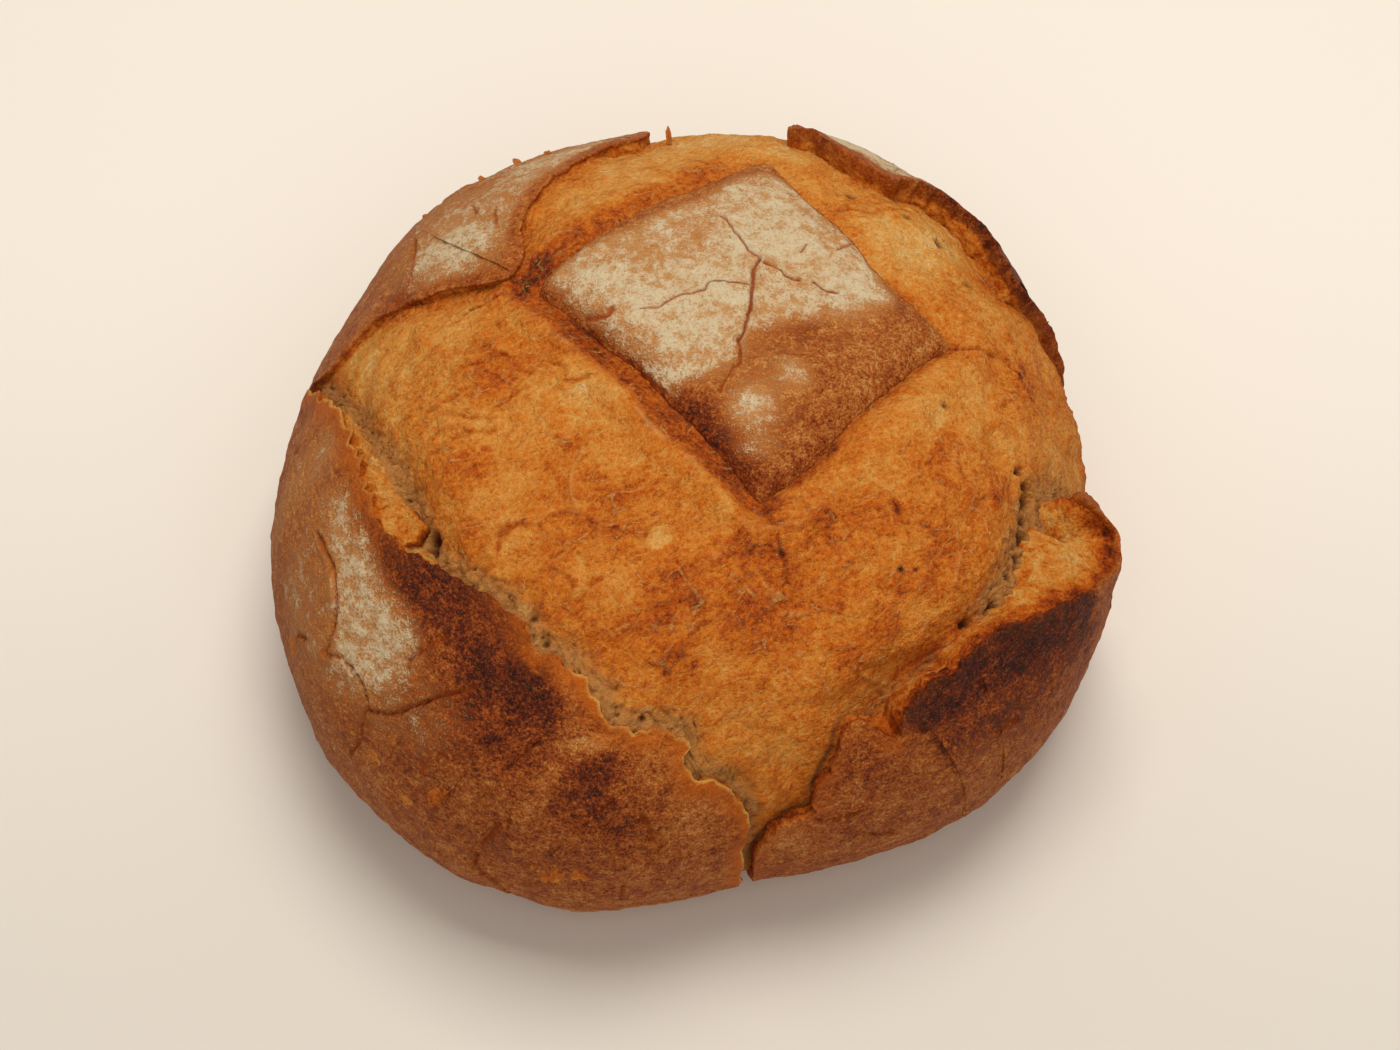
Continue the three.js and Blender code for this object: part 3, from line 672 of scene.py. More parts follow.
crumb = {
    "columns": 690,
    "innerRows": 6,
    "denseRows": 112,
    "outerRows": 18,
    "undersideRows": 4,
    "frontDensity": 0.6,
    "wrinkleTurn": 34.0,
    "wrinkleHeight": 1.15,
    "fibreHeight": 0.3,
    "swellHeight": 0.9,
    "grainHeight": 0.16,
    "creaseDepth": 0.6,
    "tone": 0.47,
    # Hollows: bearing, reach, radius, depth.
    "hollows": [[357, 140, 22, 3.5], [300, 112, 14, 2]],
    # How much darker and over how wide the crumb is painted beside the flaps: painted shade in the crevice
    # under their edges.
    "besideShadeTone": 0.14,
    "besideShadeWidth": 6.0,
    # Beside the front right flap: the width of a thin dark gap, painted shade, then bearings where the gap
    # ends, where moist crumb starts and widens, and where a darker band of painted shade starts.
    "gapShadeWidth": 1.3,
    "gapShadeEnds": (288, 304),
    "moistStarts": (316, 326),
    "moistWidens": (322, 332),
    "shadeStarts": (316, 330),
    # How much the soft patches below change the tone.
    "orangeTone": 0.26,
    "paleTone": 0.24,
    "toastTone": 0.36,
    # How much darker the smooth hollow is painted, as painted shade.
    "smoothHollowShade": 0.2,
    "smoothSoft": 4.0,
    # Where the lower front is greyer.
    "greyed": [[280, 118, 26, 14, 95, 0.35]],
    # A hollow beside the front right flap that stayed smooth and is painted darker as painted shade, as
    # places round it.
    "smoothHollow": [[295.5, 116], [304, 108.5], [312.5, 104], [318.5, 108], [317, 119], [308, 117],
                     [303, 123], [299, 121]],
    # Blisters: bearing, reach, half length, half width, turn, dome, rim height, way that the rim faces,
    # tone.
    "blisters": [[220, 74.2, 6.3, 4.6, 90, 1.5, 0.4, 60, 0.12],
                 [230, 65.4, 7.0, 6.0, 20, 0.3, 0.8, 110, 0.0],
                 [262, 52.2, 4.3, 4.0, 60, -0.4, 0.8, 150, -0.28],
                 [307, 90.3, 5.2, 5.0, 0, 0.3, 0.6, 330, 0.06], [238, 58, 8, 7, 10, 0.2, 0.7, 60, 0.05],
                 [241, 73, 8, 6, 60, 0.3, 0.7, 40, 0.08], [290, 66, 8, 6, 20, 0.2, 0.5, 100, 0.05],
                 [320, 78, 8, 6, 40, 0.4, 0.6, 30, 0.0], [275, 84, 9, 6, 15, 0.2, 0.5, 120, 0.04],
                 [202, 66, 10, 8, 150, 0.5, 0.7, 150, 0.06], [335, 92, 8, 5, 70, 0.3, 0.6, 70, 0.0],
                 [262, 92, 8, 6, 10, -0.2, 0.5, 20, -0.08], [186, 56, 9, 6, 150, 0.5, 0.6, 60, 0.05],
                 [345, 84, 8, 6, 70, 0.4, 0.5, 200, 0.05], [300, 52, 7, 5, 30, 0.3, 0.5, 80, 0.1]],
    # Creases: depth, how much painted shade darkens the crease, then places as bearing and reach.
    "creases": [[0.9, 0.8, [[297, 47.8], [295, 61.5], [295, 66.9], [292, 74.2]]],
                [1.0, 0.9, [[12, 82], [11, 100.1], [4.7, 109.3], [0.7, 109.3]]],
                [0.7, 0.6, [[35.7, 69.8], [31, 69.3]]],
                [0.8, 0.9, [[56, 74.2], [50.7, 80.5], [48, 90.8], [46, 98]]],
                [1.0, 0.8, [[162.3, 74.2], [157.3, 69.8], [152.7, 64], [147, 57.1]]],
                [0.8, 0.6, [[196, 55], [190, 66], [186, 74]]],
                [0.7, 0.5, [[182, 44], [174, 52], [170, 60]]],
                [0.9, 1.0, [[197, 66.4], [197, 61], [199, 55.2]]],
                [0.9, 1.0, [[200, 77.6], [198, 73.2], [199, 67.9]]],
                [0.9, 1.0, [[325, 67.4], [323, 71.8], [322, 76.2]]],
                [0.7, 0.8, [[177, 64.9], [174, 56.6], [173, 52.7]]], [0.9, 1.0, [[191, 52.2], [187, 45.9]]],
                [0.8, 0.8, [[185, 69.8], [183, 60]]], [0.8, 0.9, [[176, 42], [181, 34.7], [186, 33.2]]],
                [0.8, 1.0, [[189, 33.2], [191, 27.3]]], [0.9, 0.9, [[226, 70.8], [225, 65.9], [226, 60.5]]],
                [0.9, 0.7, [[247, 71.8], [248, 67.4], [250, 64.4]]],
                [0.8, 0.7, [[153, 94], [150, 76], [145, 64]]]],
    # Raised pale threads: height, then places.
    "threads": [[0.5, [[288, 70.8], [290, 76.2]]], [0.6, [[290, 80.5], [296, 81], [300, 82]]],
                [0.9, [[299, 99.1], [301, 105], [304, 110.3], [309, 111.8]]],
                [0.5, [[270, 66], [276, 62], [281, 60]]], [0.5, [[236, 50], [228, 44], [222, 36]]],
                [0.6, [[208, 50], [200, 40], [196, 34]]], [0.5, [[330, 84], [326, 90], [321, 94]]]],
    # Holes, darkened inside with painted shade: bearing, reach, radius, depth.
    "holes": [[355, 73.7, 0.9, 0.8], [316, 81.5, 1.0, 0.9], [318, 84, 0.8, 0.8], [244.3, 84.9, 1.0, 1],
              [347.3, 105, 1.8, 3], [345, 106.4, 2.2, 3], [342, 107.9, 1.8, 2.6], [339, 109, 2.6, 3],
              [337, 112, 2.2, 3], [333.5, 113, 2.4, 3], [328, 112, 2.0, 2.6], [325, 109, 1.6, 2.4],
              [319.7, 106.5, 2.0, 2.6], [349, 101, 1.4, 2.2], [341, 105, 1.0, 2], [335, 109, 1.2, 2],
              [331, 108, 1.0, 2], [213, 82.5, 2.2, 3], [214.5, 84.5, 1.8, 3], [263, 101, 1.0, 1],
              [267, 109, 1.2, 1], [240, 80, 0.9, 1], [56, 85, 1.4, 1.6], [38, 97, 1.6, 1.8],
              [28, 99, 1.5, 1.8], [45, 92, 1.3, 1.6]],
    # Soft patches: bearing, reach, half length, half width, turn, strength.
    "orange": [[179, 54, 17, 8, 35, 0.6], [253, 43, 15, 9, 14, 0.6], [224, 44, 8, 15, 41, 0.7],
               [293, 59, 14, 7, 19, 0.7], [347, 75, 14, 3, 56, 1], [316, 64, 17, 8, 28, 0.6],
               [274, 61, 19, 7, 11, 0.7], [206, 65, 9, 6, 175, 0.8], [310, 83, 17, 5, 21, 0.5],
               [262, 76, 16, 7, 23, 0.5], [288, 75, 22, 9, 80, 0.5], [330, 50, 18, 6, 40, 0.5],
               [350, 90, 14, 5, 80, 0.4]],
    "pale": [[220, 84, 6, 9, 176, 0.4], [279, 118, 24, 19, 3, 0.45], [301, 112, 15, 6, 30, 0.4],
             [170, 104, 9, 41, 27, 0.7], [356, 108, 8, 41, 91, 0.7], [167, 82, 18, 15, 20, 0.35],
             [197, 25, 12, 5, 159, 0.8], [38, 79, 13, 51, 132, 0.8], [80, 96, 30, 12, 170, 0.5],
             [200, 90, 10, 6, 100, 0.5]],
    "toast": [[221, 16, 8, 3, 128, 0.6], [89, 71, 37, 7, 55, 0.7], [155, 27, 12, 4, 133, 0.5]],
    # Browning beside each side of the crown: strength, width.
    "toastSides": [(1.1, 9.0), (0.6, 2.2), (0.15, 3.0), (0.75, 8.0)],
    # How moist the crumb stayed beside each flap: strength, width.
    "moistBeside": {"frontLeft": (0.9, 6.5), "frontRight": (0.9, 7.0), "backRight": (0.35, 5.0),
                    "backLeft": (0.1, 4.0)},
}


def crownShares(sides):
    # How much each side of the crown counts at a place, by how near it is.
    share = np.exp(-(sides - sides.min(axis=-1, keepdims=True)) / 4)
    return share / share.sum(axis=-1, keepdims=True)


def blendSides(share, rows):
    # Each column of rows that hold one row for each side of the crown, blended by the shares of the sides.
    return [(share * column).sum(axis=-1) for column in zip(*rows)]


def crumbStand(a, b):
    # Swellings and a ridge round the crown, less the moat along the crown's edge, the hollows and the dips
    # beside torn edges. Moat and ridge are blended between the nearest sides of the crown.
    out, sides = crownDistance(a, b)
    share = crownShares(sides)
    moatDepth, moatWidth, ridgeHeight = blendSides(share, crown["sides"])
    moat = moatDepth * bell(np.maximum(out, 0), moatWidth)
    ridge = ridgeHeight * bell(out - crown["ridgeOut"], crown["ridgeWidth"])
    hollow = 0
    for bearing, reach, radius, depth in crumb["hollows"]:
        ha, hb = chart(bearing, reach)
        hollow = hollow + depth * np.exp(-((a - ha)**2 + (b - hb)**2) / radius**2)
    return (unevenness(a, b) + ridge) * upperLoaf(a, b) - moat - hollow - creviceDepth(a, b), out, sides


def crumbBearings():
    # Bearings of the columns, closer together at the front, where most of the crumb shows.
    fine = np.linspace(0, 360, 3601)
    weight = 1 + crumb["frontDensity"] * ramp(fine, 150, 200) * (1 - ramp(fine, 345, 360))
    total = np.concatenate([[0], np.cumsum(0.5 * (weight[1:] + weight[:-1]))])
    return np.interp(np.linspace(0, total[-1], crumb["columns"] + 1)[:-1], total, fine)


def reachAlong(bearings):
    # For each bearing, the crown's edge and the farthest torn edge within 4 degrees, evened out round the
    # loaf.
    angles = np.degrees(np.arctan2(crownOutline[:, 1], crownOutline[:, 0])) % 360
    order = np.argsort(angles)
    inner = np.interp(bearings, angles[order], np.hypot(*crownOutline[order].T), period=360) - 5
    samples = np.vstack([at(np.linspace(0, 1, 400))[:, :2] for at in tornEdges.values()])
    reach = np.minimum(np.hypot(*samples.T), 150)
    sampled = np.degrees(np.arctan2(samples[:, 1], samples[:, 0]))
    apart = (sampled[None, :] - bearings[:, None] + 180) % 360 - 180
    outer = np.where(np.abs(apart) < 4, reach[None, :], 0).max(axis=1) + 7
    outer = np.where(outer < 60, 157, outer)
    window = 11
    wrapped = np.concatenate([outer[-window:], outer, outer[:window]])
    return inner, np.convolve(wrapped, np.ones(window) / window, "same")[window:-window]


def crumbRelief(a, b, flat, way):
    # Height of the fine relief and its colour fields: stretched wrinkles and fibres, blisters with a crisp
    # rim, creases with a shoulder, raised threads and holes. Creases and holes are darkened with painted
    # shade.
    s = crumb
    wrinkle = ridgeNoise(way / np.array([1.8, 1, 1]) + 5, 6.0, 3, 31)
    fibre = ridgeNoise(way / np.array([1.6, 1, 1]) + 9, 2.6, 2, 41)
    calm = ramp(cloudNoise(flat, 22, 2, 61), -0.1, 0.35)
    relief = s["wrinkleHeight"] * wrinkle * (0.45 + 0.55 * calm) + s["fibreHeight"] * fibre * calm
    relief += (s["grainHeight"] * cloudNoise(flat, 1.9, 2, 51)
               + s["swellHeight"] * cloudNoise(flat, 14, 2, 71))
    tone = 0.14 * ramp(wrinkle, 0.3, 0.8) * calm + 0.1 * cloudNoise(flat, 30, 2, 73)
    line, recessShade = ramp(fibre, 0.7, 1.0) * 0.25, np.zeros(a.shape)
    patchy = ramp(latticeNoise(flat, 3.5, 93), -0.5, 0.3)
    for bearing, reach, halfLength, halfWidth, turn, dome, rimHeight, facing, browning in s["blisters"]:
        ca, cb = chart(bearing, reach)
        cos, sin = turned(turn)
        along = ((a - ca) * cos + (b - cb) * sin) / halfLength
        across = ((b - cb) * cos - (a - ca) * sin) / halfWidth
        away = np.hypot(along, across) * (1 + 0.16 * latticeNoise(flat, 6, 81))
        side = (0.5 + 0.5 * np.cos(np.arctan2(b - cb, a - ca) - math.radians(facing)))**1.5
        rim = bell(away - 1, 0.12) * side
        inside = 1 - ramp(away, 0.6, 1.05)
        domed = 0.35 * relief + dome * (1 - np.minimum(away, 1)**2)
        relief = mix(relief, domed, 0.85 * inside) + rimHeight * rim
        relief -= 0.5 * rimHeight * bell(away - 0.84, 0.1) * side
        tone += browning * inside + 0.22 * rim
        line = np.maximum(line * (1 - 0.6 * inside), 0.3 * bell(away - 1.05, 0.08) * side * patchy)
    wobbledA, wobbledB = a + 0.8 * latticeNoise(flat, 5, 91), b + 0.8 * latticeNoise(flat, 5, 92)
    for depth, creaseShade, places in s["creases"]:
        away = distanceToLine(places, 24, wobbledA, wobbledB)
        relief += depth * s["creaseDepth"] * (0.9 * bell(away - 1.6, 1.3) - bell(away, 0.6))
        # Painted shade along the bottom of each crease, broken up by a patchy noise.
        tone += 0.3 * creaseShade * bell(away, 0.8) * patchy
        recessShade = np.maximum(recessShade, 0.22 * creaseShade * bell(away, 0.35) * patchy)
    for height, places in s["threads"]:
        away = distanceToLine(places, 24, wobbledA, wobbledB)
        relief += height * bell(away, 0.6)
        line = np.maximum(line, 0.7 * bell(away, 0.45) * patchy)
    for bearing, reach, radius, depth in s["holes"]:
        ca, cb = chart(bearing, reach)
        away = np.hypot(a - ca, b - cb) / radius * (1 + 0.45 * latticeNoise(flat, 2.2, 95))
        relief -= depth * np.exp(-away**4)
        # Painted shade inside each hole.
        recessShade = np.maximum(recessShade, np.exp(-away**4))
    return relief, tone, line, recessShade


def makeCrumbBody():
    # A grid of bearings by reaches on the smooth loaf, from under the crown's edge down to the middle of
    # the underside, raised by the crumb's stand and the fine relief.
    s = crumb
    bearings = crumbBearings()
    inner, outer = reachAlong(bearings)

    def stretch(low, high, count):
        return low + (high - low) * np.arange(count)[:, None] / count

    reach = np.vstack([stretch(0 * inner, inner, s["innerRows"]), stretch(inner, outer, s["denseRows"]),
                       stretch(outer, reachEnd + 0 * outer, s["outerRows"]), reachEnd + 0 * inner[None, :]])
    a, b = chart(bearings[None, :], reach)
    stand, out, sides = crumbStand(a, b)
    flat = np.stack([a, b, 0 * a], axis=-1)
    # The way of the fibres: the chart turned, with slow wandering.
    wa, wb = a + 8 * cloudNoise(flat, 36, 2, 11), b + 8 * cloudNoise(flat, 36, 2, 21)
    cos, sin = turned(s["wrinkleTurn"])
    way = np.stack([wa * cos + wb * sin, wb * cos - wa * sin, 0 * a], axis=-1)
    relief, tone, line, recessShade = crumbRelief(a, b, flat, way)
    shown = ramp(out, -1, 2) * upperLoaf(a, b)
    moist = np.zeros(a.shape)
    for name, (strength, width) in s["moistBeside"].items():
        away = distanceTo(creviceLines[name], a, b)
        if name == "frontRight":
            bearing = np.degrees(np.arctan2(b, a)) % 360
            # Painted shade: a thin dark line in the gap under the front right flap.
            recessShade = np.maximum(recessShade, 0.85 * bell(away, s["gapShadeWidth"]) * (1 - ramp(bearing, *s["gapShadeEnds"])))
            strength = strength * (0.15 + 0.85 * ramp(bearing, *s["moistStarts"]))
            width = width + 3 * ramp(bearing, *s["moistWidens"])
            # Painted shade in the crevice under the front right flap, starting part way along it.
            tone += 0.25 * bell(away, s["besideShadeWidth"]) * ramp(bearing, *s["shadeStarts"])
        else:
            # Painted shade in the crevice under the flap edge.
            tone += s["besideShadeTone"] * bell(away, s["besideShadeWidth"])
        moist = np.maximum(moist, strength * bell(away, width))
    smooth = area(a, b, s["smoothHollow"], s["smoothSoft"])
    moist = np.maximum(np.maximum(moist, 0.5 * smooth), patches(a, b, s["greyed"]))
    relief *= 1 - 0.8 * smooth
    fissure = ramp(ridgeNoise(flat, 5.0, 3, 77), 0.5, 0.85) * ramp(moist, 0.15, 0.6)
    relief += moist * 0.6 * cloudNoise(flat, 4, 3, 75) - 0.9 * fissure
    bubble = ramp(moist, 0.2, 0.6) * ramp(cloudNoise(flat, 2.6, 2, 97), 0.5, 0.8)
    relief -= 0.8 * bubble
    # Painted shade in the bubbles and fissures of the moist crumb.
    recessShade = np.maximum(recessShade, np.maximum(0.95 * bubble, 0.35 * fissure))
    points = skin(a, b, stand + relief * shown)
    left = 1 - np.arange(1, s["undersideRows"] + 1)[:, None, None] / s["undersideRows"]
    underside = smoothPoints(a[-1], b[-1])[None] * left
    underside[..., 2] = 0
    points[-1, :, 2] = 0
    share = crownShares(sides)
    strength, width = blendSides(share, s["toastSides"])
    toast = strength * (1 - ramp(out, 0.55 * width, 1.35 * width))
    toast = np.clip(np.maximum(toast, patches(a, b, s["toast"])), 0, 1)
    # A dark line along the crown's edge, painted shade in the crease where the crust meets the crumb, and a
    # pale line along the ridge beside it.
    edgeFoldShade = bell(out - 0.5, 0.7) * (share[..., 0] * 0.8 + share[..., 1])
    edgeFoldShade *= ramp(latticeNoise(flat, 9, 98), -0.6, 0.1)
    crest = bell(out - 9, 0.8) * share[..., 0] * ramp(latticeNoise(flat, 6, 99), -0.4, 0.3)
    tone += (s["tone"] + s["smoothHollowShade"] * smooth + s["orangeTone"] * patches(a, b, s["orange"])
             - s["paleTone"] * patches(a, b, s["pale"]) + s["toastTone"] * toast)
    # Darker towards the viewer and the right and paler at the back: painted shade on the near side and
    # painted light on the far side.
    tone += 0.11 * ramp(-b, 20, 100) - 0.14 * ramp(b, 40, 100) + 0.03 * ramp(a - b, 40, 100)
    fields = {
        "tone": tone,
        "moist": moist,
        "line": np.maximum(line, 0.6 * crest) * shown,
        "recessShade": np.maximum(recessShade, 0.75 * edgeFoldShade) * shown,
        "fibreWay": way / 1000,
    }
    rings = np.vstack([points, underside])
    spread = {}
    for key, values in fields.items():
        tail = np.zeros((s["undersideRows"],) + values.shape[1:])
        spread[key] = np.vstack([values, tail + (0.75 if key == "tone" else 0)])
    addMesh("oven_spring_crumb", [loft(rings, spread)], crumbMaterial)


makeCrumbBody()


# The crown crust

# Distance of the crust from the loaf's axis where streaks run round it.
usualRadius = 120.0
crownCrust = {
    "columns": 600,
    "topRows": 130,
    "edgeRows": 6,
    "underRows": 6,
    # The tone, and what dark patches and the side towards the viewer add to it.
    "tone": 0.4,
    "darkTone": 0.26,
    "lowerTone": 0.12,
    # Cracks: width, depth, places as bearing and reach.
    "cracks": [
        [0.3, 0.68, [[80, 53.2], [77, 50.8], [71, 44.9], [66, 41.0], [60, 39.5]]],
        [0.5, 1.1, [[60, 39.5], [60, 36.1], [58, 33.2], [53, 28.8], [46.0, 24.9], [40.7, 21.5],
                    [32.3, 18.6], [23.7, 15.6]]],
        [0.35, 0.75, [[23.7, 15.6], [12.3, 15.1], [357.0, 14.7], [344.3, 12.7], [327.0, 12.2],
                      [312.3, 13.2]]],
        [0.5, 0.9, [[58, 39.1], [51, 40.0], [47, 39.5], [43, 42.0]]],
        [0.45, 0.83, [[39, 45.4], [35, 46.4], [32, 49.8]]],
        [0.28, 0.52, [[55, 29.8], [60, 28.8], [66, 27.8], [70, 27.3]]],
        [0.35, 0.68, [[70, 27.3], [76, 26.4], [78.7, 23.4], [86.3, 22.0], [95.0, 21.5], [103.3, 20.5],
                      [116.3, 19.5], [126.7, 21.5]]],
        [0.9, 1.2, [[148, 34.6], [148.5, 32.7], [147, 30.0], [144, 27.5], [140, 27.3]]],
        [0.35, 0.6, [[157, 38.1], [154, 35.2]]], [0.35, 0.6, [[51, 49.3], [52, 53.2]]],
        [0.4, 0.68, [[45, 59.1], [45, 63.5], [45, 66.4]]], [0.35, 0.6, [[56, 70.5], [51, 66.5]]],
        [0.3, 0.6, [[188.3, 12.7], [202.7, 10.8], [225.7, 9.8]]], [0.3, 0.6, [[250.0, 11.2], [275.7, 9.3]]],
        [0.35, 0.6, [[21, 72.0], [16, 72.3], [12, 71.3]]], [0.28, 0.45, [[2, 51.8], [352, 55.2]]],
        [0.28, 0.45, [[6.3, 24.9], [5, 31.7], [4, 36.1]]],
    ],
    "blister": [147, 27, 8, 5, 2.0],
    # Floured areas: strength, soft width, places round them.
    "flourAreas": [
        [0.66, 5.5, [[141, 56], [157, 34], [180, 18], [235, 17], [280, 8.5], [327, 9.3], [6, 15],
                     [24, 20.5], [23.7, 32.7], [24, 41.5], [19, 52], [24, 66], [38, 69], [51.7, 70.3],
                     [62.7, 78], [74, 80], [81, 72], [87.7, 62.5], [110, 53], [129.7, 53]]],
        [0.36, 7.0, [[138, 49], [156, 27], [177, 12], [245, 14], [282, 5], [10, 7.8], [37, 16], [51.7, 25],
                     [57, 36], [42.7, 42], [29, 48], [33, 57], [48.7, 60], [59.7, 61.5], [69, 70],
                     [74.7, 61], [78.7, 46], [84.7, 38], [102, 35], [126.7, 40.5]]],
    ],
    "flour": [[352, 29.8, 6, 5.5, 100, 0.6], [322, 23, 8, 7, 80, 0.55], [306, 33.7, 4, 6, 90, 0.5],
              [30, 45, 26, 22, 20, 0.16], [330, 20, 20, 14, 100, 0.2]],
    "dark": [[283, 17, 9, 6, 130, 0.75], [281, 21, 20, 5, 130, 0.6], [307, 42, 14, 8, 10, 0.65],
             [184, 13, 10, 3, 136, 0.5], [28, 48.5, 8, 3.5, 178, 0.6], [19, 33.5, 9, 4, 178, 0.6],
             [320, 34, 26, 8, 46, 0.3], [5, 70, 12, 6, 45, 0.35], [82, 69, 14, 5, 30, 0.3]],
}


def roundAbout(a, b):
    # Metres round the loaf at its usual radius, and metres over its crust.
    around = usualRadius * (np.arctan2(b, a) % (2 * math.pi))
    return np.stack([around, np.hypot(a, b), 0 * a], axis=-1) / 1000


def bareFields(a, b):
    # The fields of crust with nothing on it.
    return {**{key: 0 * a for key in crustFields}, "around": roundAbout(a, b)}


def cutCracks(a, b, flat, rows):
    # Grooves along wandering lines, a bell in cross section with a slightly lifted shoulder.
    depthAll, inside = np.zeros(a.shape), np.zeros(a.shape)
    wobbleA, wobbleB = 0.45 * latticeNoise(flat, 2.4, 301), 0.45 * latticeNoise(flat, 2.4, 302)
    narrow = 1 + 0.4 * latticeNoise(flat, 4.5, 303)
    for width, depth, places in rows:
        away = distanceToLine(places, 8 * len(places), a + wobbleA, b + wobbleB) / narrow
        depthAll += 0.3 * depth * bell(away - 2.2 * width, 1.7 * width) - depth * bell(away, width)
        inside = np.maximum(inside, np.exp(-(away / (0.85 * width))**4))
    return depthAll, inside


def covered(a, b, rows):
    # Patches that add up where they overlap, up to 1: one minus the product of what each leaves bare.
    bare = np.ones(a.shape)
    for row in rows:
        bare *= 1 - patches(a, b, [row])
    return 1 - bare


def floured(a, b, own):
    # Soft patches of flour with the floured areas laid over them.
    bare = 1 - covered(a, b, own["flour"])
    for strength, soft, places in own["flourAreas"]:
        bare *= 1 - strength * area(a, b, places, soft)
    return 1 - bare


def makeCrown():
    # A grid from the crown's centre out to its edge, down its side and back underneath, pillowed on top.
    s = crownCrust
    share = np.linspace(0, 1, s["columns"] + 1)[:-1]
    rim = crownEdge(share)
    topShare = np.linspace(0, 1, s["topRows"])
    underShare = np.linspace(1, 0, s["underRows"])
    inward = np.concatenate([topShare, np.ones(s["edgeRows"]), underShare])[:, None, None]
    places = mix(np.array(crown["centre"]), rim[None], inward)
    a, b = places[..., 0], places[..., 1]
    flat = np.stack([a, b, 0 * a + 50], axis=-1)
    # The edge wanders a little and rises where the crust curls off the crumb.
    crumbLevel, out, sides = crumbStand(a, b)
    curl = 0.35 + 0.35 * latticeNoise(flat, 7, 331) + 0.2 * latticeNoise(flat, 2.4, 332)
    pillow = mix(crown["rise"] + 0.4 * unevenness(a, b), crumbLevel + curl, inward[..., 0]**10)
    groove, inside = cutCracks(a, b, flat, s["cracks"])
    bearing, reach, halfLength, halfWidth, height = s["blister"]
    ca, cb = chart(bearing, reach)
    blister = height * np.exp(-(((a - ca) / halfLength)**2 + ((b - cb) / halfWidth)**2)**1.5)
    relief = 0.4 * cloudNoise(flat, 14, 2, 311) + 0.2 * cloudNoise(flat, 3, 3, 321) + groove + blister
    top = np.arange(len(inward)) < s["topRows"]
    edgeFall = np.concatenate([np.zeros(s["topRows"]), np.linspace(0, 1, s["edgeRows"] + 2)[1:-1],
                               np.ones(s["underRows"])])[:, None]
    stand = np.where(top[:, None], pillow + relief * (1 - 0.6 * inward[..., 0]**8),
                     mix(pillow + relief * 0.4, -crown["thickness"], edgeFall))
    ragged = 0.5 * latticeNoise(flat, 4, 333) + 0.35 * latticeNoise(flat, 1.6, 334)
    outward = (rim - np.array(crown["centre"]))[None]
    outward = outward / np.linalg.norm(outward, axis=-1, keepdims=True)
    outward = outward * (ragged * inward[..., 0]**12)[..., None]
    points = skin(a + outward[..., 0], b + outward[..., 1], stand)
    lowerSide = crownShares(sides)[..., 0] * (1 - ramp(sides[..., 0], 3, 13))
    fields = {
        **bareFields(a, b),
        "tone": s["tone"] + s["darkTone"] * covered(a, b, s["dark"]) + s["lowerTone"] * lowerSide,
        "edge": 50 + 0 * a,
        "flour": floured(a, b, s) * ramp(-out, 0.2, 2.0) * (1 - 0.15 * lowerSide),
        "crack": inside * 0.9,
        "around": flat / 1000,
    }
    addMesh("crown_crust", [loft(points, fields)], crustMaterial)


makeCrown()


# The four flaps of old crust

flaps = {
    "stand": 2.4,
    "standFade": 20.0,
    "rootDepth": 8.0,
    "depth": 10.0,
    "hemReach": 206.0,
    "hemFade": 26.0,
    "hemDepth": 2.0,
    "tornRows": 34,
    "rimRows": 6,
    "outerRows": 128,
    "insideRows": 8,
    # How much char, tan patches and the painted shade of hollows in the torn face change the tone.
    "charTone": 0.45,
    "tanTone": 0.26,
    "faceHollowShade": 0.22,
}
